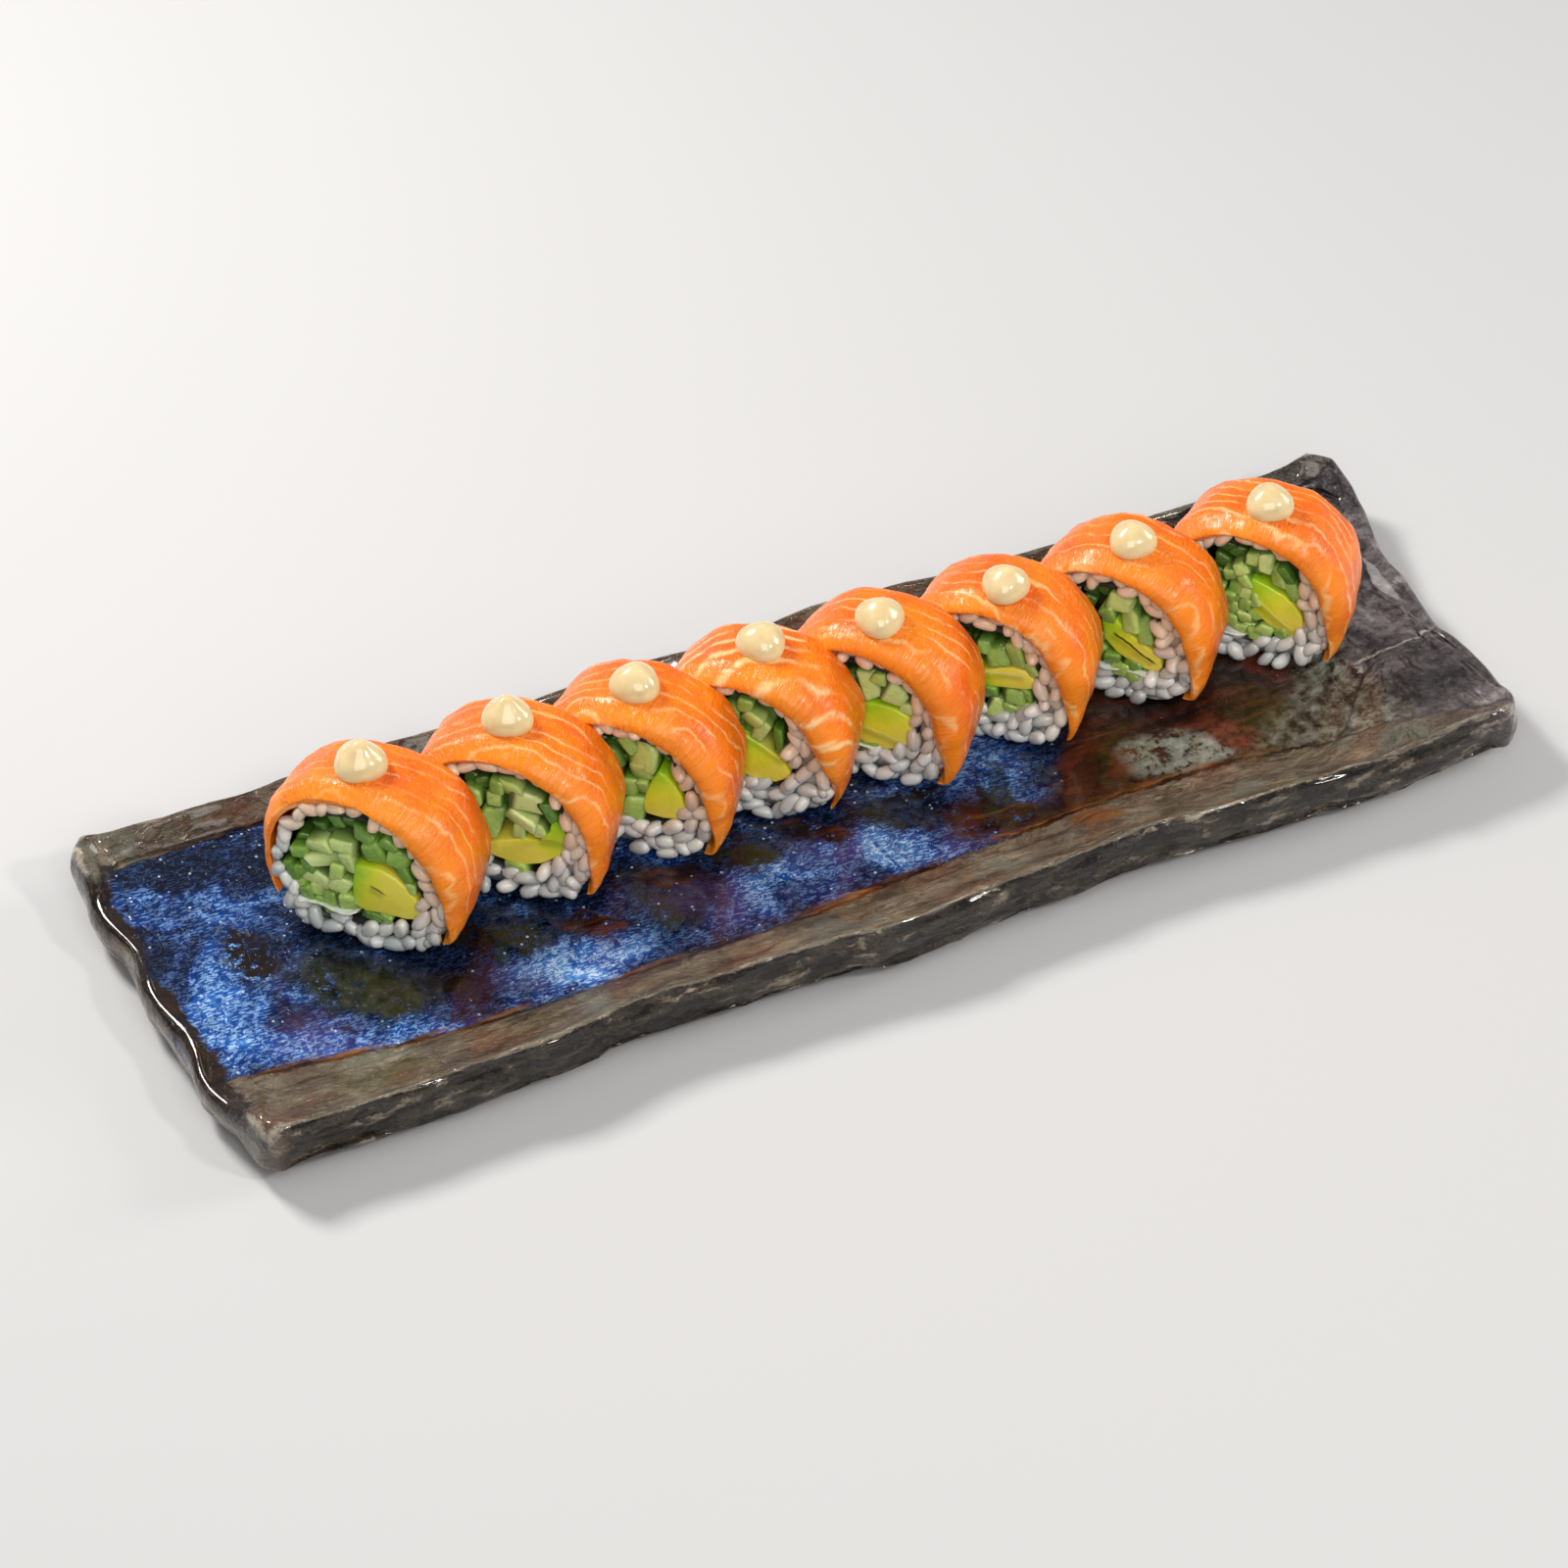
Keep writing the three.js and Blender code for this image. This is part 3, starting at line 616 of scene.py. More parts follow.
# %% Glaze: the brown pools and patches inside the blue
along = glaze.turned(place, scale=(0.22, 1, 1))
streak = glaze.noise(along, 4.5, 5.0, 0.62, 0.8)
mottle = glaze.noise(place, 3.4, 4.0, 0.65)
broad = glaze.noise(place, 15.0, 3.0, 0.5)
dark_brown = glaze.ramp(
    streak, (0.3, paint(8, 5, 5)), (0.48, paint(34, 16, 11)), (0.62, paint(74, 36, 22)),
    (0.78, paint(128, 84, 50)),
)
olive = glaze.ramp(mottle, (0.34, paint(8, 9, 10)), (0.5, paint(24, 25, 24)), (0.7, paint(52, 51, 45)))
black = glaze.ramp(streak, (0.35, paint(9, 8, 9)), (0.6, paint(28, 18, 14)), (0.8, paint(92, 80, 74)))
DARK_POOLS = (
    ((-151, 6), (7, 12), 8, black), ((-131, -16), (20, 9), -48, olive), ((-112, -23), (6, 3.4), -20, black),
    ((-72, -20), (8, 4), -22, dark_brown), ((-101, -11), (9, 4), -26, black),
    ((-49, -12), (9, 4), -26, dark_brown), ((-29, -14), (9, 4), -26, olive),
    ((-9, -14), (9, 3.4), -30, dark_brown), ((36, -31), (17, 6.5), -22, dark_brown),
    ((22, -12), (7, 3), -26, black),
)
holes = glaze.step(glaze.noise(place, 2.6, 4.0, 0.7), 0.36, 0.46)
body = blue
for centre, radii, turn, colour in DARK_POOLS:
    area = glaze.patch(fine_wobbly if colour is olive else wobbly, centre, radii, turn, 0.35)
    body = glaze.mix(glaze.times(area, holes), body, colour)
print("glaze:", len(DARK_POOLS), "dark pools")

# %% [markdown]
# ## Zones along the platter
# The blue ends in a slanted border. Then come thin brown glaze with one patch of ash and one of rust, a
# mottled grey olive, and cloudy grey stone at the right end.

# %% Glaze: the zones along the platter
BROWN_START = 66
OLIVE_START = 140
STONE_START = 138
x, y, _ = glaze.split(wobbly)
fine_x, fine_y, _ = glaze.split(fine_wobbly)
brown_edge = glaze.plus(x, glaze.times(y, -0.7))
olive_edge = glaze.plus(x, glaze.times(y, -1.2))
brown = glaze.mix(glaze.step(broad, 0.52, 0.66), dark_brown, glaze.mix(0.5, dark_brown, paint(112, 50, 34)))
ash = glaze.ramp(mottle, (0.34, paint(64, 66, 58)), (0.5, paint(112, 118, 108)), (0.68, paint(150, 156, 146)))
ash_area = glaze.times(glaze.patch(wobbly, (87, -29), (14, 8), -20, 0.35), glaze.step(mottle, 0.4, 0.5))
brown = glaze.mix(ash_area, brown, ash)
rust = glaze.ramp(mottle, (0.35, paint(46, 20, 14)), (0.6, paint(112, 58, 44)))
brown = glaze.mix(glaze.patch(fine_wobbly, (103, -30), (9, 5), -50, 0.3), brown, rust)
grey_olive = glaze.ramp(
    mottle, (0.34, paint(30, 18, 12)), (0.42, paint(60, 50, 40)), (0.5, paint(84, 82, 70)),
    (0.66, paint(124, 126, 114)),
)
cloudy = glaze.plus(glaze.times(mottle, 0.5), glaze.times(broad, 0.5))
stone = glaze.ramp(
    cloudy, (0.36, paint(30, 26, 29)), (0.47, paint(70, 63, 65)), (0.58, paint(108, 101, 102)),
    (0.7, paint(164, 158, 154)),
)
body = glaze.mix(glaze.step(brown_edge, BROWN_START, BROWN_START + 8), body, brown)
body = glaze.mix(glaze.step(olive_edge, OLIVE_START, OLIVE_START + 12), body, grey_olive)
body = glaze.mix(glaze.step(x, STONE_START, STONE_START + 12), body, stone)
print("glaze: four zones, the last from", STONE_START, "mm")

# %% [markdown]
# ## Where the pool ends
# The pool's near border is not straight: it wanders in towards the slices and out again. A curve draws
# it, as a share of the way from 60 mm to 20 mm in front of the middle. The far border is straight, and the
# pool doesn't climb the rims.

# %% Glaze: the outline of the pool
NEAR_BORDER = (
    (0.0, 0.74), (0.046, 0.68), (0.164, 0.525), (0.297, 0.455), (0.383, 0.452), (0.492, 0.512), (0.6, 0.575),
    (0.725, 0.6), (0.806, 0.52), (0.889, 0.34), (1.0, 0.1),
)
FAR_BORDER = 50.0
along_share = glaze.math("DIVIDE", glaze.plus(fine_x, 180.0), 360.0)
near_line = glaze.plus(glaze.times(glaze.curve(along_share, *NEAR_BORDER), 40.0), -60.0)
from_near = glaze.minus(fine_y, near_line)
true_z = glaze.split(place)["Z"]
wall = glaze.split(glaze.attribute("wall").outputs["Vector"])["X"]
shoulder = glaze.times(glaze.step(fine_x, 60.0, 100.0), -6.0)
pool = glaze.times(
    glaze.step(from_near, -0.8, 0.6), glaze.step(fine_y, FAR_BORDER + 0.6, FAR_BORDER - 0.6),
    glaze.step(glaze.plus(true_z, shoulder), 16.0, 13.6), glaze.step(wall, 0.9, 0.2),
)
print("glaze: the near border has", len(NEAR_BORDER), "points")

# %% [markdown]
# ## Rims and walls
# Outside the pool the glaze is thin over brown clay: smoother on top of the rims, with fine cracks and
# warm and cool places, and bark-like where the clay was torn. The torn walls are painted dark, partly for
# their clay and partly as painted shade. A pale line along the crests is a painted highlight.

# %% Glaze: rims and torn walls
clay_place = glaze.turned(wobbly, scale=(0.5, 1, 1))
clay = glaze.noise(clay_place, 8.0, 4.0, 0.62)
rim = glaze.ramp(
    clay, (0.28, paint(50, 40, 32)), (0.42, paint(82, 70, 57)), (0.56, paint(106, 95, 79)),
    (0.74, paint(140, 129, 110)),
)
bark = glaze.noise(glaze.turned(fine_wobbly, scale=(0.3, 1, 1)), 3.4, 5.0, 0.65)
# The torn walls' ramp is dark partly for their clay and partly as painted shade.
torn_and_shaded = glaze.ramp(
    bark, (0.32, paint(14, 11, 9)), (0.46, paint(48, 41, 34)), (0.58, paint(92, 82, 69)),
    (0.72, paint(146, 134, 116)),
)
crack = glaze.off_middle(glaze.noise(along, 5.0, 4.0, 0.6))
rim = glaze.mix(glaze.times(glaze.step(crack, 0.02, 0.004), 0.7), rim, paint(54, 30, 14))
rim = glaze.mix(glaze.step(broad, 0.52, 0.68), rim, glaze.mix(0.3, rim, paint(120, 78, 58)))
rim = glaze.mix(glaze.step(broad, 0.46, 0.34), rim, glaze.mix(0.45, rim, paint(104, 110, 98)))
gap_x, gap_y, gap_z = glaze.split(glaze.attribute("gaps").outputs["Vector"])
least_gap = glaze.math("MINIMUM", glaze.math("MINIMUM", gap_x, gap_y), gap_z)
least_gap = glaze.plus(least_gap, glaze.times(glaze.minus(bark, 0.5), 4.0))
# A pale painted highlight along the crests.
crest_highlight = glaze.times(
    glaze.step(least_gap, 0.8, 1.4), glaze.step(least_gap, 2.8, 1.8), glaze.step(true_z, 11.5, 13.5),
)
torn_and_shaded_share = glaze.times(wall, glaze.step(gap_z, 3.0, 9.0))
rim = glaze.mix(torn_and_shaded_share, rim, torn_and_shaded)
rim = glaze.mix(glaze.times(glaze.step(x, 150, 165), 0.6), rim, stone)
rim = glaze.mix(glaze.times(crest_highlight, 0.7), rim, paint(184, 173, 154))
surface = glaze.mix(pool, rim, body)
print("glaze: rims and walls")

# %% [markdown]
# ## Lines and drips
# An amber line follows the pool's near border, where the glaze is thinnest. One drip is brown round the
# bead, the left lip is nearly black under its thick wet glaze, and a pale painted highlight runs along the
# step's crest.

# %% Glaze: the amber line, the drip, the left lip and the step
LIP_FROM_X = -171.5
STEP_SLOPE = 0.12
STEP_OFFSET = 35.6
amber_band = glaze.times(
    glaze.step(from_near, -1.6, -0.2), glaze.step(from_near, 3.6, 0.4),
    glaze.step(glaze.noise(along, 6.0, 3.0), 0.38, 0.54), glaze.step(fine_x, 120, 90),
)
amber = glaze.ramp(streak, (0.35, paint(36, 18, 8)), (0.52, paint(96, 58, 22)), (0.7, paint(158, 112, 58)))
surface = glaze.mix(amber_band, surface, amber)
drip = glaze.patch(fine_wobbly, BEAD, (7, 3.2), -10, 0.3)
surface = glaze.mix(drip, surface, paint(108, 68, 36))
lip_band = glaze.times(
    glaze.step(x, LIP_FROM_X, LIP_FROM_X - 2.5), glaze.step(true_z, 11.0, 12.2),
    glaze.step(true_z, 16.5, 15.0),
)
wet_lip = glaze.ramp(streak, (0.35, paint(10, 7, 6)), (0.7, paint(50, 32, 20)))
surface = glaze.mix(lip_band, surface, wet_lip)
# A pale line along the step's crest: a painted highlight.
off_step = glaze.plus(glaze.minus(fine_y, glaze.times(fine_x, STEP_SLOPE)), STEP_OFFSET)
off_step = glaze.math("ABSOLUTE", off_step)
step_highlight = glaze.times(
    glaze.step(off_step, 0.9, 0.2), glaze.step(fine_x, 136, 148), glaze.step(gap_z, 2.0, 7.0),
)
surface = glaze.mix(glaze.times(step_highlight, 0.7), surface, paint(190, 184, 176))
glaze.colour(surface)
print("glaze: coloured")

# %% [markdown]
# ## Gloss and relief of the glaze
# The pool is wettest. All the rest varies a little in roughness, so that highlights break up. The relief
# is bump, in millimetres: lumps and pits on the rims, ridges and bark on the torn walls, faint crystals in
# the pool, and waves at the right end.

# %% Glaze: gloss and relief
RELIEF_MM = 1.8
wet = glaze.math("MAXIMUM", glaze.math("MAXIMUM", pool, lip_band), drip)
wet = glaze.times(wet, glaze.step(x, 150, 128))
uneven = glaze.times(glaze.step(mottle, 0.35, 0.7), 0.1)
glaze.roughness(glaze.minus(glaze.plus(uneven, 0.1), glaze.times(wet, 0.04)))
ridge = glaze.times(glaze.step(glaze.off_middle(bark), 0.1, 0.0), glaze.times(torn_and_shaded_share, 1.2))
torn_relief = glaze.times(bark, glaze.times(torn_and_shaded_share, 0.8))
pits = glaze.noise(glaze.turned(fine_wobbly, scale=(0.6, 1, 1)), 2.2, 2.0, 0.5)
lumpy = glaze.times(glaze.noise(clay_place, 6.0, 2.0, 0.45, 0.4), 1.5)
lumpy = glaze.plus(lumpy, glaze.times(glaze.step(crack, 0.03, 0.0), -0.1))
lumpy = glaze.plus(lumpy, glaze.plus(ridge, torn_relief))
lumpy = glaze.plus(lumpy, glaze.times(pits, 0.9))
waves = glaze.noise(glaze.turned(fine_wobbly, scale=(1, 0.6, 1)), 7.5, 2.0, 0.5, 0.8)
waves = glaze.plus(glaze.times(waves, 4.2), glaze.times(pits, 0.6))
waves = glaze.times(glaze.step(x, 118, 140), waves)
grainy = glaze.times(glaze.step(x, 58, 84), glaze.noise(fine_wobbly, 3.4, 3.0, 0.5))
relief = glaze.times(glaze.minus(1.0, pool), lumpy)
for layer in (
    glaze.times(strokes, 0.03), glaze.plus(waves, glaze.times(grainy, 0.6)), glaze.times(step_highlight, 0.5),
    glaze.times(broad, 0.3),
):
    relief = glaze.plus(relief, layer)
glaze.bump(relief, RELIEF_MM)
wear(platter, glaze)
print("glaze nodes:", len(glaze.tree.nodes))

# %% [markdown]
# ## Where each slice stands
# Each slice has its own place, turn and size. The foot is the point of the platter under the middle of
# the cut face, and the yaw is the way the roll's axis points, so across, up and along the roll are three
# directions of its own. Everything in a slice is laid out in them, in millimetres. The class also knows
# the two outlines that the pieces share: the outside of the rice, sagging at its foot, and the hole.

# %% The eight slices
RICE_HALF_WIDTH = 21.5
RICE_HEIGHT = 41.0
SLICE_DEPTH = 21.0
GAP = 0.3
SAG_POWER = 0.68
ROUND_POWER = 0.92
HOLE_POWER = 0.8
HOLE_TAPER = 0.22
HOLE_LEAN = 1.8
CENTRING = (-1.7027, 0.9485)


class Slice:
    """One slice of the roll. hole is its middle, half width, height and half height."""

    def __init__(self, number, foot, yaw, size, hole, dollop, peak=0.5, shift=0.0, extra=0.0):
        self.number = number
        self.foot = Vector(((foot[0] + CENTRING[0]) * MM, (foot[1] + CENTRING[1]) * MM, FLOOR_Z))
        turn = math.radians(yaw)
        self.along = Vector((math.cos(turn), math.sin(turn), 0))
        self.across = Vector((math.sin(turn), -math.cos(turn), 0))
        self.size, self.hole, self.dollop, self.peak = size, hole, dollop, peak
        self.shift, self.extra = shift, extra
        self.depth = SLICE_DEPTH * size

    def to_world(self, local):
        """Rows of across, up, along in millimetres, as points in metres."""
        axes = np.array([self.across, UP, self.along])
        return np.array(self.foot) + np.asarray(local) @ axes * MM

    def to_local(self, points):
        axes = np.array([self.across, UP, self.along])
        return (np.asarray(points) - np.array(self.foot)) @ axes.T / MM

    def rice_outline(self, turn, inset=0.0):
        """The outside of the rice at this angle, drawn in by the inset."""
        half_width = RICE_HALF_WIDTH * self.size + self.extra - inset
        half_height = RICE_HEIGHT * self.size / 2
        rise = np.sin(turn)
        power = np.where(rise < 0, SAG_POWER, ROUND_POWER)
        side = self.shift + half_width * np.sign(np.cos(turn)) * np.abs(np.cos(turn)) ** power
        up = GAP + half_height + (half_height - inset) * np.sign(rise) * np.abs(rise) ** power
        return side, up

    def hole_outline(self, turn, grow=0.0):
        middle, half_width, centre, half_height = self.hole
        rise = np.sign(np.sin(turn)) * np.abs(np.sin(turn)) ** HOLE_POWER
        reach = np.sign(np.cos(turn)) * np.abs(np.cos(turn)) ** HOLE_POWER
        taper = np.where(reach > 0, 1 - HOLE_TAPER * rise, 1.0)
        side = middle + HOLE_LEAN * rise + (half_width + grow) * reach * taper
        return side, centre + (half_height + grow) * rise


SLICES = [
    Slice(1, (-122.2, -2.4), 43.0, 1.04, (-2.2, 18.6, 21.5, 17.3), (9.6, -3.3), 1.6, -0.8, 0.7),
    Slice(2, (-84.6, -1.7), 47.5, 1.02, (-0.6, 17.6, 22.3, 15.8), (10.2, -1.7), 1.4),
    Slice(3, (-51.0, -1.0), 46.0, 1.0, (-1.0, 16.0, 22.7, 13.3), (8.3, -0.7)),
    Slice(4, (-18.4, -0.9), 46.0, 0.99, (-2.4, 14.4, 22.8, 14.2), (10.1, 0.1), 0.2),
    Slice(5, (14.2, -2.0), 43.0, 0.99, (-2.5, 14.6, 21.0, 13.8), (5.9, 0.4)),
    Slice(6, (48.5, -2.0), 44.0, 0.965, (-2.4, 14.6, 19.6, 13.9), (5.0, 1.3)),
    Slice(7, (83.6, -2.0), 41.0, 0.965, (-2.0, 15.0, 19.2, 14.8), (7.0, 1.0)),
    Slice(8, (121.3, -4.9), 43.0, 0.975, (-1.6, 16.0, 21.0, 15.4), (7.0, 1.2)),
]


def store_section(piece, cut):
    """Keep across, up and along, in millimetres, on the piece."""
    store(piece, "section", cut.to_local(spots_of(piece)))


print("slices:", len(SLICES))

# %% [markdown]
# ## What shows at each cut
# The cucumber sticks are cut by hand, so no two ends are alike, and each slice has its own. Each row gives
# a stick's middle across and up the cut face, its width, height and turn, how pale it is, and 1 where it
# keeps the dark skin on one side.

# %% The sticks that show
STICKS = {
    1: (
        (-18.2, 15, 2.6, 10.5, 22, 0.2, 1), (-16.2, 23.6, 5.2, 4.2, 8, 0.4, 0),
        (-11.4, 27.3, 7.2, 4.2, 12, 0.85, 0), (-10, 23.2, 8.4, 3.8, 14, 0.95, 0),
        (-14.6, 19.4, 4.4, 3.2, -12, 0.25, 0), (-12.2, 15.8, 7.4, 5, -20, 0.9, 0),
        (-6.6, 20.6, 3.8, 5.6, 0, 0.7, 0), (-4.2, 23.6, 4.6, 7, 8, 0.85, 0),
        (-6, 16.4, 5.6, 5.2, -14, 0.85, 0), (-9.4, 9.6, 4.6, 7.4, 12, 0.45, 1),
        (-4.4, 10.4, 5, 7.4, 0, 0.6, 1), (0.6, 33.8, 6, 4, -10, 0.3, 0),
        (-4.8, 29, 6.6, 4.2, -8, 0.85, 0), (3, 29.2, 6.6, 7.2, 18, 0.4, 1),
        (7.4, 33, 5.2, 4.4, -30, 0.35, 0), (9.6, 29, 6.2, 5.4, -25, 0.45, 0),
        (10.8, 24.6, 3.6, 6, 20, 0.3, 1), (12.4, 20.4, 3, 4, 0, 0.7, 0), (2.2, 8.4, 6.4, 3.2, -5, 0.2, 1),
        (-15, 10.8, 3.6, 5, 20, 0.3, 1),
    ),
    2: (
        (-1.6, 34, 4, 5, 0, 0.5, 0), (2, 34, 6.4, 4.6, 0, 0.75, 0), (-2.5, 29.4, 4, 4.6, 0, 0.7, 0),
        (6, 30.4, 9.4, 6.6, -12, 0.9, 1), (-3.5, 21.8, 5.6, 9.4, 0, 0.65, 0),
        (4.4, 24.6, 8.4, 4.8, -24, 0.95, 0), (3.6, 20.8, 3.4, 5.2, 6, 0.8, 0),
        (8.4, 21.6, 4, 4.4, 10, 0.85, 0), (2.5, 8.6, 6.6, 4.2, -8, 0.6, 0),
        (11.6, 28.6, 3, 6, 24, 0.15, 1), (-8, 29, 5, 6, 0, 0.6, 0), (-9, 22, 4.6, 6, 0, 0.5, 0),
    ),
    3: (
        (0.4, 34, 4, 6, 30, 0.5, 1), (4, 31.4, 7.4, 9, -20, 0.75, 0), (2.8, 26, 5.8, 6.6, 10, 0.7, 0),
        (0.2, 20.4, 4.6, 6, 0, 0.5, 0), (3.4, 21, 3, 5, 0, 0.6, 0), (1, 14, 6.4, 8, -10, 0.55, 0),
        (-5, 28, 6, 6, 0, 0.6, 0), (-5.6, 19, 6, 7, 0, 0.55, 0), (-11, 24, 5, 6, 0, 0.5, 1),
    ),
    4: (
        (-1, 34, 4.4, 5, 0, 0.5, 0), (1, 30, 5.8, 4.8, -20, 0.75, 0), (2.8, 26.6, 4, 7.6, -24, 0.8, 0),
        (7.4, 25, 2.6, 6.6, 12, 0.2, 1), (-3.4, 10.8, 5.2, 4, 0, 0.4, 0), (-5, 30, 5, 6, 0, 0.6, 0),
        (-10, 26, 5, 6, 0, 0.5, 0), (-11, 18, 5, 7, 0, 0.5, 1),
    ),
    5: (
        (-0.4, 29, 6, 8.8, 22, 0.85, 1), (6.4, 27.6, 7.4, 7, -24, 0.85, 1),
        (2.4, 32.2, 4, 3.6, 0, 0.6, 0), (9.4, 23.8, 4, 3.6, 0, 0.9, 0), (0, 9.4, 5, 3.6, 0, 0.35, 0),
        (-7, 27, 6, 6, 0, 0.6, 0), (-10, 19, 5, 8, 0, 0.5, 0),
    ),
    6: (
        (-2.4, 28, 4, 4.2, 0, 0.5, 1), (1.4, 25.8, 6.4, 6.2, 20, 0.5, 0), (5.6, 27.2, 5, 8.4, 14, 0.6, 1),
        (10.2, 24, 2.8, 4.4, 30, 0.7, 0), (-0.4, 13.6, 4.4, 5, 0, 0.3, 0), (5.8, 14, 6, 4.6, 0, 0.5, 1),
        (8.4, 9.8, 5, 5, 10, 0.8, 0), (1.4, 9.4, 5.4, 6.6, -24, 0.75, 1), (-6, 23, 4, 5, 0, 0.5, 0),
    ),
    7: (
        (1, 30.2, 7.2, 6, -6, 0.8, 0), (3.6, 25.2, 5, 7.4, 0, 0.75, 0), (7.4, 22.8, 4, 7.6, 22, 0.55, 0),
        (-2, 24, 4, 8, 20, 0.5, 0), (-0.8, 12, 5, 3.4, 0, 0.3, 1), (1.4, 9, 5, 4.4, 0, 0.55, 0),
        (4.4, 11.4, 5, 3.6, -24, 0.3, 1), (5, 7.2, 5.4, 4.2, -10, 0.6, 0), (9.2, 8.2, 5, 4, -10, 0.5, 0),
    ),
    8: (
        (-6, 25.4, 3.8, 3.8, 10, 0.6, 0), (-3.4, 28.6, 4, 4, 30, 0.75, 0),
        (-4.6, 21.8, 3.8, 4, 0, 0.5, 0), (-2.2, 24.8, 3.6, 4.2, 24, 0.7, 0),
        (-6, 18.4, 3.4, 4, 0, 0.55, 1), (-1.6, 21, 3.6, 4.2, -20, 0.75, 0),
        (-4.8, 15, 3.6, 4, 12, 0.6, 0), (-1.8, 17.4, 3.6, 4, 0, 0.5, 0), (0.6, 19.6, 3, 4.4, 20, 0.7, 0),
        (-5, 11.6, 3.6, 4, 0, 0.6, 0), (-1.4, 13, 4, 4, 0, 0.75, 0), (1, 14.6, 3.4, 4, 30, 0.5, 1),
        (-2.4, 9, 4, 3.8, 0, 0.6, 0), (4, 10.6, 4.6, 3.8, -20, 0.7, 0), (1.4, 9, 3.6, 4, 0, 0.5, 0),
        (-0.6, 32, 4.4, 4, 0, 0.7, 1), (3.2, 32, 4, 6.2, -6, 0.85, 0), (6, 28.4, 3.8, 6.4, 14, 0.6, 0),
        (8.6, 29.4, 2.4, 6.6, 32, 0.15, 1), (10.6, 24.6, 3.6, 6.4, 18, 0.5, 0),
        (-9.6, 20, 4.6, 6, 0, 0.5, 0), (-9, 13, 4, 6, 0, 0.5, 1),
    ),
}

print("sticks that show:", [len(rows) for rows in STICKS.values()])

# %% [markdown]
# ## The lining of the hole
# Nori and rice press against the filling from below and from the sides, and leave a dark gap over it. So
# the hole's outline is drawn in to where the filling reaches, at each angle, except near the top.

# %% The lining
LINING_POINTS = 48
LINING_TURNS = np.arange(LINING_POINTS) * 2 * math.pi / LINING_POINTS
PRESS = 0.2
LEAST_SHARE = 0.5
SPREAD = 0.3


def filling_points(cut):
    """Corners of the listed sticks, and the section of the avocado, across and up."""
    corners = []
    for side, up, width, tall, turn, _, _ in STICKS[cut.number]:
        angle = math.radians(turn)
        for a, b in ((-1, -1), (-1, 1), (1, -1), (1, 1)):
            u, v = a * width / 2, b * tall / 2
            corner_side = side + u * math.cos(angle) - v * math.sin(angle)
            corner_up = up + u * math.sin(angle) + v * math.cos(angle)
            corners.append((corner_side, corner_up))
    avocado = cut.to_local(spots_of(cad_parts[f"avocado_{cut.number}"]))
    return np.array(corners + [tuple(row[:2]) for row in avocado])


def fit_lining(cut):
    """Keep, for each turn, the share of the hole's reach at which the lining lies."""
    middle = np.array([cut.hole[0], cut.hole[2]])
    points = filling_points(cut) - middle
    angles, reaches = np.arctan2(points[:, 1], points[:, 0]), np.hypot(points[:, 0], points[:, 1])
    hole = np.column_stack(cut.hole_outline(LINING_TURNS)) - middle
    shares = []
    for side, up in hole:
        radius, angle = math.hypot(side, up), math.atan2(up, side)
        apart = np.abs((angles - angle + math.pi) % (2 * math.pi) - math.pi)
        near = np.where(apart < SPREAD, reaches * np.cos(apart), 0).max()
        drawn_in = min(1.0, (near + PRESS) / radius)
        free = min(1.0, max(0.0, (up / radius - 0.25) / 0.35))
        shares.append(max(LEAST_SHARE, drawn_in + (1 - drawn_in) * free))
    shares = np.array(shares)
    cut.lining_shares = (np.roll(shares, 1) + shares * 2 + np.roll(shares, -1)) / 4


def lining(cut, turn, grow=0.0):
    """The lining's outline, across and up, drawn out by grow."""
    side, up = cut.hole_outline(turn)
    share = np.interp(turn, LINING_TURNS, cut.lining_shares, period=2 * math.pi)
    side, up = side - cut.hole[0], up - cut.hole[2]
    radius = np.hypot(side, up)
    reach = radius * share + grow
    return cut.hole[0] + side / radius * reach, cut.hole[2] + up / radius * reach


for cut in SLICES:
    fit_lining(cut)
print("lining shares:", [round(float(cut.lining_shares.min()), 2) for cut in SLICES])

# %% [markdown]
# ## The salmon
# A thin slice of fish drapes over each piece of roll: thick and round at its cut front edge, pulled down
# to narrow tips at both sides. Pale lines of fat run down the drape. A merged copy of the frame's solid
# has the drape's shape, and subdividing rounds it. Its front part is then laid over the face of the rice:
# LIP_REACH says how far down it comes, at each of LIP_TURNS, in degrees round the roll from the right.
# Each vertex keeps how far round the roll it lies and how far along, so that the fat lines follow the
# fish and not the world.

# %% Salmon: the drape
SALMON_LEVELS = 3
muscle = clay_texture("muscle", "CLOUDS", 9 * MM, noise_depth=1)
ripple = clay_texture("ripple", "CLOUDS", 2.6 * MM, noise_depth=2)
BEND_START = 6.5
BEND_RADIUS = 1.5
EDGE_THINNING = 0.66
LIP_TURNS = (-60, -35, -12, 10, 35, 60, 90, 120, 160, 210)
LIP_REACH = {
    1: (-0.4, 0.0, 0.6, 1.4, 2.0, 1.2, 0.0, -0.8, -0.6, 0.0),
    2: (-0.4, 0.0, 0.5, 1.0, 1.5, 1.2, 0.4, 0.0, 0.0, 0.0),
    3: (-0.4, 0.0, 0.6, 1.6, 2.2, 1.8, 0.9, 0.3, 0.0, 0.0),
    4: (-1.0, 0.4, 2.0, 3.4, 3.2, 2.0, 0.8, 0.2, 0.0, 0.0),
    5: (0.4, 1.4, 2.6, 3.8, 4.0, 2.8, 1.2, 0.4, 0.0, 0.0),
    6: (-0.6, 0.2, 1.2, 2.4, 2.7, 1.8, 0.8, 0.3, 0.0, 0.0),
    7: (-0.4, 0.0, 0.6, 1.6, 2.1, 1.6, 0.8, 0.3, 0.0, 0.0),
    8: (0.2, 0.4, 0.8, 1.8, 2.1, 1.6, 0.7, 0.2, 0.0, 0.0),
}
TIP_FLARE = 6.0
TIP_FOOT = {1: 7.0, 2: 6.0, 3: 5.0, 4: 3.0, 5: 4.5, 6: 5.0, 7: 6.0, 8: 6.5}


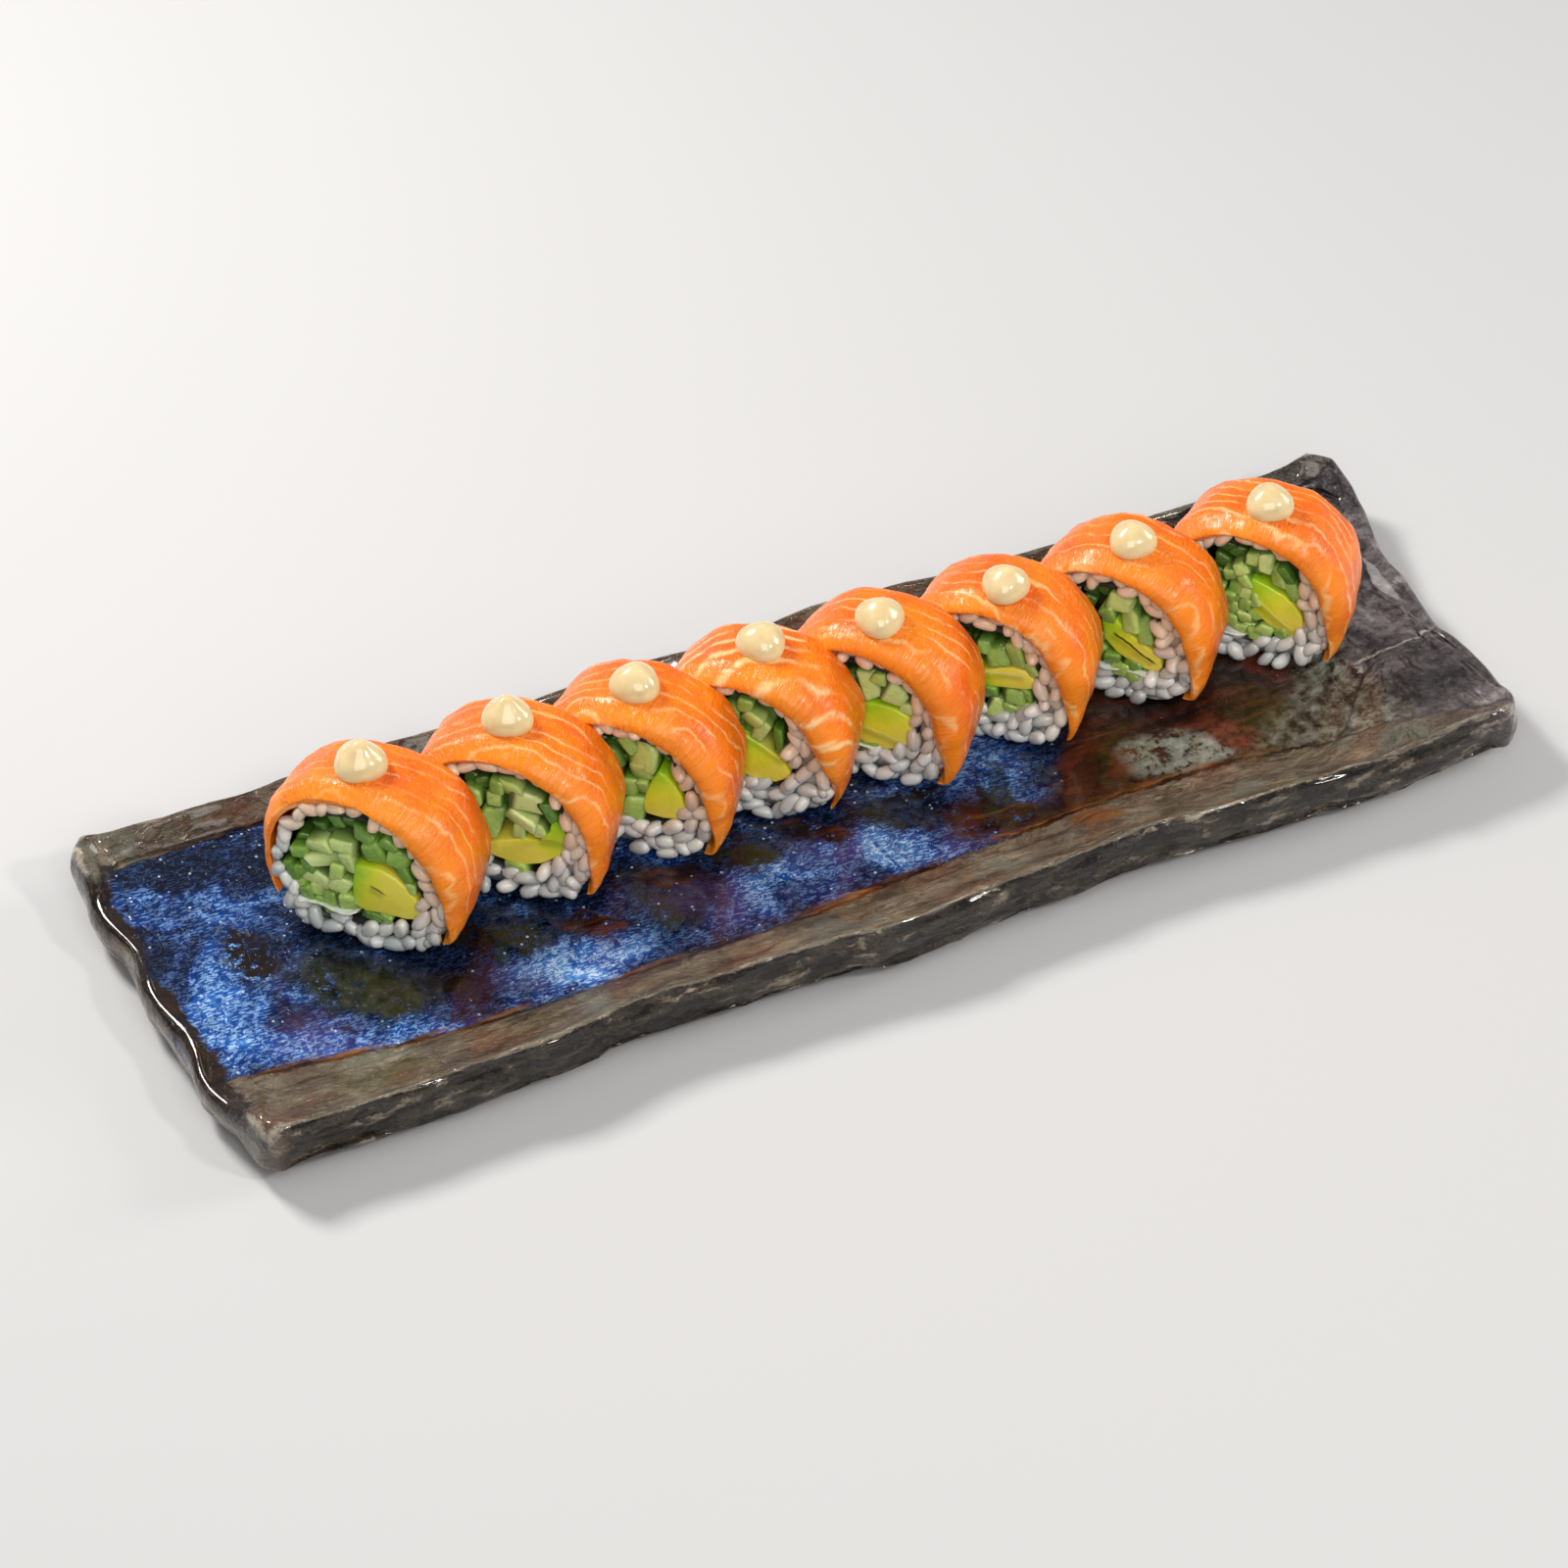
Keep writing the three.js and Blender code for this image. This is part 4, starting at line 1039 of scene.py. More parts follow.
def lay_over_front(piece, cut):
    """Bend the fish's front down over the face of the rice, and let its right end hang outwards."""
    local = cut.to_local(spots_of(piece))
    centre = np.array([cut.shift, GAP + RICE_HEIGHT * cut.size / 2])
    outline = np.column_stack(cut.rice_outline(LINING_TURNS)) - centre
    away = local[:, :2] - centre
    angle = np.arctan2(away[:, 1], away[:, 0])
    radius = np.hypot(away[:, 0], away[:, 1])
    outline_angle = np.arctan2(outline[:, 1], outline[:, 0])
    under = np.interp(angle, outline_angle, np.hypot(outline[:, 0], outline[:, 1]), period=2 * math.pi)
    degrees = np.degrees(np.where(angle < -math.pi / 2, angle + 2 * math.pi, angle))
    reach = np.interp(degrees, LIP_TURNS, LIP_REACH[cut.number])
    front = local[:, 2].min()
    share = np.clip((BEND_START - local[:, 2]) / (BEND_START - front), 0, 1)
    path = share * (BEND_START - front + reach) - BEND_START
    path = np.where(share > 0, path, -local[:, 2])
    thinning = np.clip((path + 4.0) / (reach + 5.0), 0, 1)
    tall = (radius - under) * (1 - EDGE_THINNING * thinning ** 1.4)
    bend = np.clip(path / BEND_RADIUS, 0, math.pi / 2)
    beyond = np.clip(path - BEND_RADIUS * math.pi / 2, 0, None)
    new_radius = under - BEND_RADIUS + (BEND_RADIUS + tall) * np.cos(bend) - beyond
    along_it = np.where(path > 0, -(BEND_RADIUS + tall) * np.sin(bend), -path)
    across = centre[0] + new_radius * np.cos(angle)
    up = centre[1] + new_radius * np.sin(angle)
    hang = np.clip((-degrees - 12) / 40, 0, 1) ** 1.3
    across += TIP_FLARE * hang * (1 - 0.4 * np.clip(local[:, 2] / cut.depth, 0, 1))
    below = np.clip(TIP_FOOT[cut.number] - up, 0, None)
    up = np.maximum(up + 0.85 * below, GAP)
    move_to(piece, cut.to_world(np.column_stack([across, up, along_it])))


def salmon_drape(cut):
    piece = merged_copy(f"salmon_{cut.number}", f"salmon_slice_{cut.number}")
    hold_size(piece)
    apply_modifier(piece, "SUBSURF", levels=SALMON_LEVELS, render_levels=SALMON_LEVELS)
    local = cut.to_local(spots_of(piece))
    middle = RICE_HEIGHT * cut.size / 2
    round_it = np.arctan2(local[:, 1] - middle, local[:, 0]) * RICE_HALF_WIDTH
    lay_over_front(piece, cut)
    displace(piece, muscle, 1.3)
    displace(piece, ripple, 0.35)
    store(piece, "drape", np.column_stack([round_it, local[:, 2], local[:, 1]]))
    return finish_piece(piece, "salmon", f"salmon_{cut.number}")


salmon_pieces = [salmon_drape(cut) for cut in SLICES]
print("salmon:", [len(piece.data.polygons) for piece in salmon_pieces])

# %% [markdown]
# ## Salmon as a material
# Raw salmon is orange, wet and a little see-through, so some light scatters under its skin. The fat lines
# are lanes across the drape, swayed and broken by noise. They are strong in one slice and faint in the
# others, so each slice has its own slant, spacing, width and strength. Fine fibres run the same way, and
# the crown carries small wet beads.

# %% Salmon: the flesh
FLESH = ((0.3, paint(232, 96, 0)), (0.5, paint(242, 116, 2)), (0.7, paint(248, 134, 10)))
CUT_EDGE = paint(252, 154, 34)
LOW_ENDS = paint(250, 150, 36)
FIBRE = paint(252, 184, 92)
FAT = paint(255, 204, 140)
FAT_SLANT = {1: 0.10, 2: 0.22, 3: 0.12, 4: 0.55, 5: 0.10, 6: -0.06, 7: 0.05, 8: -0.10}
FAT_SPACING = {1: 4.6, 2: 4.4, 3: 4.2, 4: 5.2, 5: 4.6, 6: 4.2, 7: 5.0, 8: 4.0}
FAT_WIDTH = {1: 0.15, 2: 0.16, 3: 0.16, 4: 0.26, 5: 0.14, 6: 0.15, 7: 0.14, 8: 0.17}
FAT_STRENGTH = {1: 0.5, 2: 0.55, 3: 0.6, 4: 0.95, 5: 0.6, 6: 0.6, 7: 0.5, 8: 0.65}


def salmon_finish(number):
    flesh = Finish(
        f"salmon_flesh_{number}", Coat_Weight=0.1, Coat_Roughness=0.2, Subsurface_Weight=0.22,
        Subsurface_Scale=2.5 * MM, Specular_IOR_Level=0.42,
    )
    flesh.shader.inputs["Subsurface Radius"].default_value = (1.0, 0.4, 0.2)
    drape = flesh.turned(flesh.attribute("drape").outputs["Vector"], shift=(number * 37.0, 0, 0))
    raw = flesh.split(flesh.attribute("drape").outputs["Vector"])
    round_it, along_it, up = raw["X"], raw["Y"], raw["Z"]
    slanted = flesh.plus(along_it, flesh.times(round_it, FAT_SLANT[number]))
    sway = flesh.times(flesh.noise(drape, 20.0, 3.0), 14.0)
    lane = flesh.math("DIVIDE", flesh.plus(slanted, sway), FAT_SPACING[number])
    nearness = flesh.off_middle(flesh.math("FRACT", lane))
    line = flesh.step(nearness, FAT_WIDTH[number], 0.02)
    strands = flesh.turned(drape, scale=(0.09, 1, 1))
    broken = flesh.step(flesh.noise(strands, 2.4, 3.0, 0.6), 0.28, 0.52)
    fading = flesh.step(flesh.noise(drape, 11.0, 2.0), 0.34, 0.56)
    line = flesh.times(line, broken, flesh.times(fading, FAT_STRENGTH[number]))
    fibre = flesh.noise(strands, 0.9, 3.0, 0.6)
    patchy = flesh.noise(drape, 12.0, 3.0, 0.5)
    base = flesh.ramp(patchy, *FLESH)
    front = flesh.step(along_it, 4.6, 0.4)
    base = flesh.mix(flesh.times(front, 0.45), base, CUT_EDGE)
    low = flesh.step(up, 18.0, 2.0)
    base = flesh.mix(flesh.times(low, 0.35), base, LOW_ENDS)
    base = flesh.mix(flesh.times(flesh.step(fibre, 0.5, 0.75), 0.2), base, FIBRE)
    flesh.colour(flesh.mix(line, base, FAT))
    damp = flesh.noise(drape, 4.0, 3.0, 0.6)
    flesh.roughness(flesh.plus(flesh.times(damp, 0.3), 0.14))
    grain = flesh.plus(flesh.times(fibre, 0.5), flesh.times(line, 0.5))
    cross_grain = flesh.noise(flesh.turned(drape, scale=(1, 0.4, 1)), 1.1, 3.0, 0.6, 0.6)
    beads = flesh.step(cross_grain, 0.42, 0.7)
    wet_top = flesh.plus(flesh.times(flesh.step(up, 34.0, 42.0), 0.7), 0.3)
    flesh.bump(flesh.plus(grain, flesh.times(beads, wet_top)), 0.36, 0.7)
    return flesh


for cut, piece in zip(SLICES, salmon_pieces):
    wear(piece, salmon_finish(cut.number))
print("salmon finished")

# %% [markdown]
# ## A ring of rice
# Under the grains is a plain ring of packed rice, so that no daylight shows between them. A circle is
# added, its points are set on the rice's outline, its edge is extruded inwards to the hole, and the
# resulting face ring is extruded through the depth of the slice.

# %% Rice: the core ring
RING_POINTS = 48
CORE_INSET = 1.6
CORE_SET_BACK = 1.9


def ring_solid(name, cut, outer, inner, start, end):
    """A ring between two outlines, from start to end along the roll, in millimetres."""
    bpy.ops.object.select_all(action="DESELECT")
    bpy.ops.mesh.primitive_circle_add(vertices=RING_POINTS, radius=1.0, fill_type="NOTHING")
    piece = bpy.context.object
    piece.name = name
    in_edit_mode(piece, lambda: bpy.ops.mesh.extrude_region_move())
    flat = spots_of(piece)
    order = np.argsort(np.arctan2(flat[:RING_POINTS, 1], flat[:RING_POINTS, 0]))
    turns = np.sort(np.arctan2(flat[:RING_POINTS, 1], flat[:RING_POINTS, 0]))
    local = np.zeros((2 * RING_POINTS, 3))
    for base, outline in ((0, outer), (RING_POINTS, inner)):
        side, up = outline(turns)
        local[base + order] = np.column_stack([side, up, np.full(RING_POINTS, start)])
    move_to(piece, cut.to_world(local))
    reach = cut.along * (end - start) * MM
    in_edit_mode(
        piece,
        lambda: bpy.ops.mesh.extrude_region_move(TRANSFORM_OT_translate={"value": reach}),
        lambda: bpy.ops.mesh.select_all(action="SELECT"),
        lambda: bpy.ops.mesh.normals_make_consistent(inside=False),
    )
    return piece


def rice_core(cut):
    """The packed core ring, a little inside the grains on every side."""
    return ring_solid(
        f"core_{cut.number}", cut, lambda t: cut.rice_outline(t, CORE_INSET), lambda t: lining(cut, t, 0.8),
        CORE_SET_BACK, cut.depth - CORE_SET_BACK,
    )


print("the core ring has", RING_POINTS, "points round it")


# %% [markdown]
# ## Grains of rice
# A cooked short grain is about 6 mm long and 3 mm thick, plump, and a little narrower at one end. One
# grain is modelled from a sphere and then laid down hundreds of times as one joined mesh: over both cut
# faces, and along the underside that the salmon leaves bare. The draws are seeded, so the heap is the
# same each time.

# %% Rice: one grain
GRAIN_LENGTH = 6.5
GRAIN_WIDTH = 3.95
bpy.ops.object.select_all(action="DESELECT")
bpy.ops.mesh.primitive_uv_sphere_add(segments=8, ring_count=7, radius=0.5, rotation=(0, math.pi / 2, 0))
grain = bpy.context.object
grain.name = "grain"
bpy.ops.object.transform_apply(location=False, rotation=True, scale=False)
in_edit_mode(grain, lambda: bpy.ops.transform.resize(value=(GRAIN_LENGTH, GRAIN_WIDTH, GRAIN_WIDTH * 0.92)))
grain_spots = spots_of(grain)
end_share = np.clip(np.abs(grain_spots[:, 0]) / (GRAIN_LENGTH / 2), 0, 0.999)
plump = (1 - end_share ** 2) ** -0.16
narrow = plump * (1 - 0.14 * np.clip(grain_spots[:, 0] / (GRAIN_LENGTH / 2), 0, 1) ** 2)
grain_spots[:, 1:] *= narrow[:, None]
grain_spots[:, 2] += 0.16 * (grain_spots[:, 0] / 2) ** 2
grain_faces = [tuple(face.vertices) for face in grain.data.polygons]
bpy.data.objects.remove(grain)
print("one grain:", len(grain_faces), "faces")


# %% [markdown]
# ## Laying the grains
# Grains lie mostly along the ring, as pressing leaves them, and a few stand on end. Places are drawn one
# by one, and one that is too near to another is dropped, so the grains touch but don't pile up.

# %% Rice: laying the grains
GRAIN_SPACING = 3.1
FACE_TRIES = 1000
UNDER_TRIES = 500
GRAIN_HALF = 1.5
STANDING_SHARE = 0.12
FACE_SET_BACK = 0.5
CORE_SHADE = 0.2
RICE_SEED = 100
FULL_TURN = 6.28


def turn_matrix(heading, pitch, roll):
    """Rows of a grain's own axes: heading in the face, pitch out of it, roll about its length."""
    ch, sh = math.cos(heading), math.sin(heading)
    cp, sp = math.cos(pitch), math.sin(pitch)
    length_axis = np.array([ch * cp, sh * cp, sp])
    side_axis = np.array([-sh, ch, 0.0])
    top_axis = np.cross(length_axis, side_axis)
    cr, sr = math.cos(roll), math.sin(roll)
    return np.array([length_axis, side_axis * cr + top_axis * sr, top_axis * cr - side_axis * sr])


def spread(rng, draw, spacing, tries):
    """Draw places one by one and keep those that are clear of the places kept before."""
    kept = []
    for _ in range(tries):
        spot = draw(rng)
        if all((spot[0] - k[0]) ** 2 + (spot[1] - k[1]) ** 2 > spacing ** 2 for k in kept):
            kept.append(spot)
    return kept


def face_grains(rng, cut, where, out):
    """Grains over one cut face. where is its place along the roll, out is -1 at the front, 1 behind."""
    def draw(rng):
        turn = rng.uniform(-math.pi, math.pi)
        share = rng.uniform(0.0, 1.0)
        outer = cut.rice_outline(np.array(turn), 1.0)
        inner = lining(cut, np.array(turn), 0.2 + 1.2 * math.sin(turn))
        side = inner[0] + (outer[0] - inner[0]) * share
        return side, inner[1] + (outer[1] - inner[1]) * share, turn, share

    placed = []
    for side, up, turn, share in spread(rng, draw, GRAIN_SPACING, FACE_TRIES):
        heading = turn + math.pi / 2 + rng.normal(0, 0.55)
        pitch = rng.normal(0, 0.3)
        if rng.random() < STANDING_SHARE:
            pitch = rng.uniform(0.7, 1.3)
        low = max(0.0, -math.sin(turn)) * share
        proud = out * (rng.uniform(-0.5, 0.55) + 0.9 * low)
        middle = np.array([side, max(up, GRAIN_HALF + GAP), where + proud])
        placed.append((middle, turn_matrix(heading, pitch, rng.uniform(0, FULL_TURN))))
    return placed


def under_grains(rng, cut):
    """Grains on the outside, below the salmon's edge."""
    def draw(rng):
        turn = rng.uniform(-math.pi, 0.0)
        side, up = cut.rice_outline(np.array(turn), 1.1)
        round_it = turn * RICE_HALF_WIDTH
        return round_it, rng.uniform(GRAIN_HALF, cut.depth - GRAIN_HALF), float(side), float(up), turn

    placed = []
    for _, along_it, side, up, turn in spread(rng, draw, GRAIN_SPACING, UNDER_TRIES):
        heading = rng.uniform(0, math.pi)
        flat = turn_matrix(heading, rng.normal(0, 0.15), rng.uniform(0, FULL_TURN))
        tangent = np.array([-math.sin(turn), math.cos(turn), 0.0])
        normal = np.array([math.cos(turn), math.sin(turn), 0.0])
        basis = np.array([tangent, [0.0, 0.0, 1.0], normal])
        placed.append((np.array([side, max(up, GRAIN_HALF + GAP), along_it]), flat @ basis))
    return placed


def joined_grains(name, cut, placed, rng):
    """One mesh of all the grains, each with its own shade."""
    points, faces, shades = [], [], []
    for spot, axes in placed:
        scale = rng.uniform(0.88, 1.08)
        base = len(points) * len(grain_spots)
        local = grain_spots * scale @ axes + spot
        local[:, 1] = np.maximum(local[:, 1], GAP)
        points.append(local)
        shades.append(np.full(len(grain_spots), rng.random()))
        faces += [tuple(base + v for v in face) for face in grain_faces]
    mesh = bpy.data.meshes.new(name)
    mesh.from_pydata(cut.to_world(np.concatenate(points)).tolist(), [], faces)
    piece = bpy.data.objects.new(name, mesh)
    bpy.context.collection.objects.link(piece)
    shade = np.concatenate(shades)
    store(piece, "shade", np.column_stack([shade, shade, shade]))
    return piece


def rice_of(cut):
    """All the grains of a slice and their core, and how many grains there are."""
    rng = np.random.default_rng(RICE_SEED + cut.number)
    placed = face_grains(rng, cut, FACE_SET_BACK, -1)
    placed += face_grains(rng, cut, cut.depth - FACE_SET_BACK, 1)
    placed += under_grains(rng, cut)
    grains = joined_grains(f"rice_grains_{cut.number}", cut, placed, rng)
    core = rice_core(cut)
    store(core, "shade", np.full((len(core.data.vertices), 3), CORE_SHADE))
    pick(grains)
    core.select_set(True)
    bpy.ops.object.join()
    store_section(grains, cut)
    return finish_piece(grains, "rice", f"rice_{cut.number}"), len(placed)


rice_pieces = []
for cut in SLICES:
    piece, count = rice_of(cut)
    rice_pieces.append(piece)
    print("slice", cut.number, "has", count, "grains,", len(piece.data.polygons), "faces")

# %% [markdown]
# ## Rice as a material
# Cooked rice is translucent: light goes into a grain and comes out softly, so it needs subsurface
# scattering. By the platter it is painted cool and grey, as painted shade, and near the fish it is
# painted peach, as painted light that the orange fish throws onto it.

# %% Rice: the finish
rice_finish = Finish(
    "cooked_rice", Coat_Weight=0.3, Coat_Roughness=0.12, Subsurface_Weight=0.6, Subsurface_Scale=2.6 * MM,
    Roughness=0.28,
)
rice_finish.shader.inputs["Subsurface Radius"].default_value = (1.0, 0.85, 0.7)
section = rice_finish.attribute("section").outputs["Vector"]
shade = rice_finish.split(rice_finish.attribute("shade").outputs["Vector"])["X"]
up = rice_finish.split(section)["Y"]
white = rice_finish.ramp(
    shade, (0.0, paint(188, 194, 192)), (0.5, paint(210, 213, 210)), (1.0, paint(232, 231, 224)),
)
# Peach tint near the fish: painted light that the fish throws onto the rice.
near_fish = rice_finish.plus(up, rice_finish.times(rice_finish.split(section)["X"], 0.5))
fish_glow = rice_finish.step(near_fish, 12.0, 36.0)
white = rice_finish.mix(rice_finish.times(fish_glow, 0.62), white, paint(255, 198, 148))
# Cool grey low down by the platter: painted shade.
platter_shade = rice_finish.step(up, 7.0, 0.5)
white = rice_finish.mix(rice_finish.times(platter_shade, 0.35), white, paint(164, 180, 190))
rice_finish.colour(white)
rice_finish.bump(rice_finish.noise(rice_finish.place(), 1.3, 2.0, 0.5), 0.18, 0.5)
for piece in rice_pieces:
    wear(piece, rice_finish)
print("rice finished")

# %% [markdown]
# ## Nori
# The seaweed is a thin crinkled sheet between rice and filling. From the front it reads as a near-black
# line, wider where the filling has shrunk away from it.

# %% Nori
crinkle = clay_texture("crinkle", "CLOUDS", 3.0 * MM, noise_depth=1)
nori_finish = Finish("nori", Roughness=0.5, Coat_Weight=0.2, Coat_Roughness=0.3)
weed = nori_finish.noise(nori_finish.place(), 1.6, 4.0, 0.7)
NEAR_BLACK = ((0.35, paint(10, 12, 9)), (0.6, paint(22, 26, 16)), (0.8, paint(40, 44, 26)))
nori_finish.colour(nori_finish.ramp(weed, *NEAR_BLACK))
nori_finish.bump(weed, 0.3, 0.8)


def nori_sheet(cut):
    piece = ring_solid(
        f"nori_sheet_{cut.number}", cut, lambda t: lining(cut, t, 0.7), lambda t: lining(cut, t, 0.2),
        0.2, cut.depth - 0.2,
    )
    in_edit_mode(piece, lambda: bpy.ops.mesh.subdivide(number_cuts=2))
    displace(piece, crinkle, 0.5)
    wear(piece, nori_finish)
    return finish_piece(piece, "nori", f"nori_{cut.number}")


nori_pieces = [nori_sheet(cut) for cut in SLICES]
print("nori:", [len(piece.data.polygons) for piece in nori_pieces])

# %% [markdown]
# ## Cucumber sticks
# One stick is a cube with rounded edges, stretched through the slice, with a slanted cut at its front.
# Between and behind the listed ones, loose sticks fill the rest of the hole by rule: flush with the cut
# low down, and set back from it at the top, where the photograph's gaps are deep and dark. The higher ones
# are also given a darker tone there, as painted shade.

# %% Cucumber: the sticks
LOOSE_PITCH = 4.3
LOOSE_SIZE = 4.2
LOOSE_SET_BACK = 2.6
EDGE_ROUNDING = 0.24
CUCUMBER_SEED = 500


def stick(cut, side, up, width, tall, turn, start, end, rng):
    """A rounded cube stretched through the slice, turned about the roll's axis."""
    bpy.ops.object.select_all(action="DESELECT")
    bpy.ops.mesh.primitive_cube_add(size=1.0)
    piece = bpy.context.object
    in_edit_mode(piece, lambda: bpy.ops.transform.resize(value=(width, tall, end - start)))
    rounding = min(width, tall) * EDGE_ROUNDING
    in_edit_mode(piece, lambda: bpy.ops.mesh.bevel(offset=rounding, segments=3, affect="EDGES"))
    local = spots_of(piece)
    local[:, 0] *= 1 - 0.3 * local[:, 1] / tall * rng.uniform(-1.6, 1.6)
    local[:, 0] += 0.3 * local[:, 1] * rng.uniform(-1, 1) * width / max(width, tall)
    local[:, 1] *= 1 + 0.3 * local[:, 0] / width * rng.uniform(-1.4, 1.4)
    front = local[:, 2] < 0
    local[front, 2] += local[front, 0] * rng.uniform(-0.3, 0.3) + local[front, 1] * rng.uniform(-0.35, 0.2)
    angle = math.radians(turn)
    turned = np.column_stack([
        side + local[:, 0] * math.cos(angle) - local[:, 1] * math.sin(angle),
        up + local[:, 0] * math.sin(angle) + local[:, 1] * math.cos(angle),
        local[:, 2] + (start + end) / 2,
    ])
    across_share = local[:, 0] / width
    flat_face = np.abs(local[:, 2]) > (end - start) / 2 - min(width, tall) * 0.12
    move_to(piece, cut.to_world(turned))
    return piece, across_share, np.where(flat_face, 0.0, 1.0)


def loose_places(rng, cut, taken):
    """Places on a shaken grid inside the hole that are clear of the listed sticks."""
    middle, half_width, centre, half_height = cut.hole
    edge = np.column_stack(lining(cut, LINING_TURNS, -1.9)) - (middle, centre)
    edge_angles, edge_reach = np.arctan2(edge[:, 1], edge[:, 0]), np.hypot(edge[:, 0], edge[:, 1])
    avocado = cut.to_local(spots_of(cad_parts[f"avocado_{cut.number}"]))[:, :2]
    ways = np.column_stack([np.cos(LINING_TURNS), np.sin(LINING_TURNS)])
    places = []
    for side in np.arange(middle - half_width, middle + half_width, LOOSE_PITCH):
        for up in np.arange(centre - half_height, centre + half_height, LOOSE_PITCH):
            spot = np.array([side + rng.uniform(-0.5, 0.5), up + rng.uniform(-0.5, 0.5)])
            angle = math.atan2(spot[1] - centre, spot[0] - middle)
            reach = np.interp(angle, edge_angles, edge_reach, period=2 * math.pi)
            inside = math.hypot(spot[0] - middle, spot[1] - centre) < reach
            in_avocado = (ways @ spot < (avocado @ ways.T).max(axis=0) + 0.8).all()
            clear = all(abs(spot[0] - s[0]) > s[2] * 0.4 or abs(spot[1] - s[1]) > s[3] * 0.4 for s in taken)
            if inside and clear and not in_avocado:
                places.append(spot)
    return places


def cucumber_of(cut):
    """The listed and the loose sticks of a slice, joined."""
    rng = np.random.default_rng(CUCUMBER_SEED + cut.number)
    listed = STICKS[cut.number]
    wanted = [(*row, rng.uniform(-0.7, 0.3)) for row in listed]
    for side, up in loose_places(rng, cut, listed):
        high = min(1.0, max(0.0, (up - cut.hole[2]) / 8 + 0.4))
        # The higher a loose stick, the darker its tone: painted shade at the top of the hole.
        tone = rng.uniform(0.35, 0.75) - 0.3 * high
        back = LOOSE_SET_BACK * high + rng.uniform(-0.2, 0.8)
        wanted.append((side, up, LOOSE_SIZE, LOOSE_SIZE, rng.uniform(-30, 30), tone, 0, back))
    sticks = []
    for side, up, width, tall, turn, tone, skin, start in wanted:
        end = cut.depth - rng.uniform(-0.5, 0.8)
        piece, share, edge = stick(cut, side, up, width, tall, turn, start, end, rng)
        sticks.append(piece)
        store(piece, "edge", np.column_stack([edge, edge, edge]))
        store(piece, "stick", np.column_stack([np.full(len(share), tone), share, np.full(len(share), skin)]))
    bpy.ops.object.select_all(action="DESELECT")
    for piece in sticks:
        piece.select_set(True)
    bpy.context.view_layer.objects.active = sticks[0]
    bpy.ops.object.join()
    joined = bpy.context.object
    joined.name = f"cucumber_sticks_{cut.number}"
    store_section(joined, cut)
    return finish_piece(joined, "cucumber", f"cucumber_{cut.number}")


cucumber_pieces = [cucumber_of(cut) for cut in SLICES]
print("cucumber:", [len(piece.data.polygons) for piece in cucumber_pieces])

# %% [markdown]
# ## Cucumber as a material
# A cut end is pale and wet and lets light in. The sides and rim of each stick are painted a darker green,
# as painted shade, and deep in the gaps the sticks are painted dark, as painted shade too. Each stick
# brings its own tone and says where its skin is.

# %% Cucumber: flesh and skin
cucumber_finish = Finish(
    "cucumber_flesh", Coat_Weight=0.35, Coat_Roughness=0.1, Subsurface_Weight=0.3, Subsurface_Scale=2.0 * MM,
)
cucumber_finish.shader.inputs["Subsurface Radius"].default_value = (0.6, 1.0, 0.4)
kind = cucumber_finish.split(cucumber_finish.attribute("stick").outputs["Vector"])
cut_place = cucumber_finish.attribute("section").outputs["Vector"]
pulp = cucumber_finish.noise(cut_place, 1.5, 3.0, 0.6)
tone = cucumber_finish.plus(kind["X"], cucumber_finish.times(pulp, 0.3))
tone = cucumber_finish.minus(tone, 0.15, clamp=True)
green = cucumber_finish.ramp(
    tone, (0.0, paint(66, 112, 30)), (0.4, paint(136, 178, 72)), (0.75, paint(194, 218, 122)),
    (1.0, paint(224, 238, 164)),
)
# The sides and rim of each stick: painted shade in a darker green.
side_shade = cucumber_finish.split(cucumber_finish.attribute("edge").outputs["Vector"])["X"]
green = cucumber_finish.mix(cucumber_finish.times(side_shade, 0.6), green, paint(84, 132, 34))
# Deep behind the cut face: painted shade.
gap_shade = cucumber_finish.step(cucumber_finish.split(cut_place)["Z"], 0.4, 4.0)
green = cucumber_finish.mix(cucumber_finish.times(gap_shade, 0.7), green, paint(38, 74, 22))
skin = cucumber_finish.times(cucumber_finish.step(kind["Y"], -0.22, -0.4), kind["Z"])
green = cucumber_finish.mix(cucumber_finish.times(skin, 0.9), green, paint(20, 60, 14))
cucumber_finish.colour(green)
cucumber_finish.roughness(cucumber_finish.plus(cucumber_finish.times(pulp, 0.25), 0.1))
cucumber_finish.bump(pulp, 0.5, 0.8)
for piece in cucumber_pieces:
    wear(piece, cucumber_finish)
print("cucumber finished")

# %% [markdown]
# ## Avocado
# The avocado is a soft slice that runs through the roll. Its flesh goes from bright green by the skin to
# butter yellow inside, and the cut leaves a pale crease in some slices. The frame's solid has the section
# of each. Its edges are rounded with a bevel, and a line in section coordinates draws the crease.

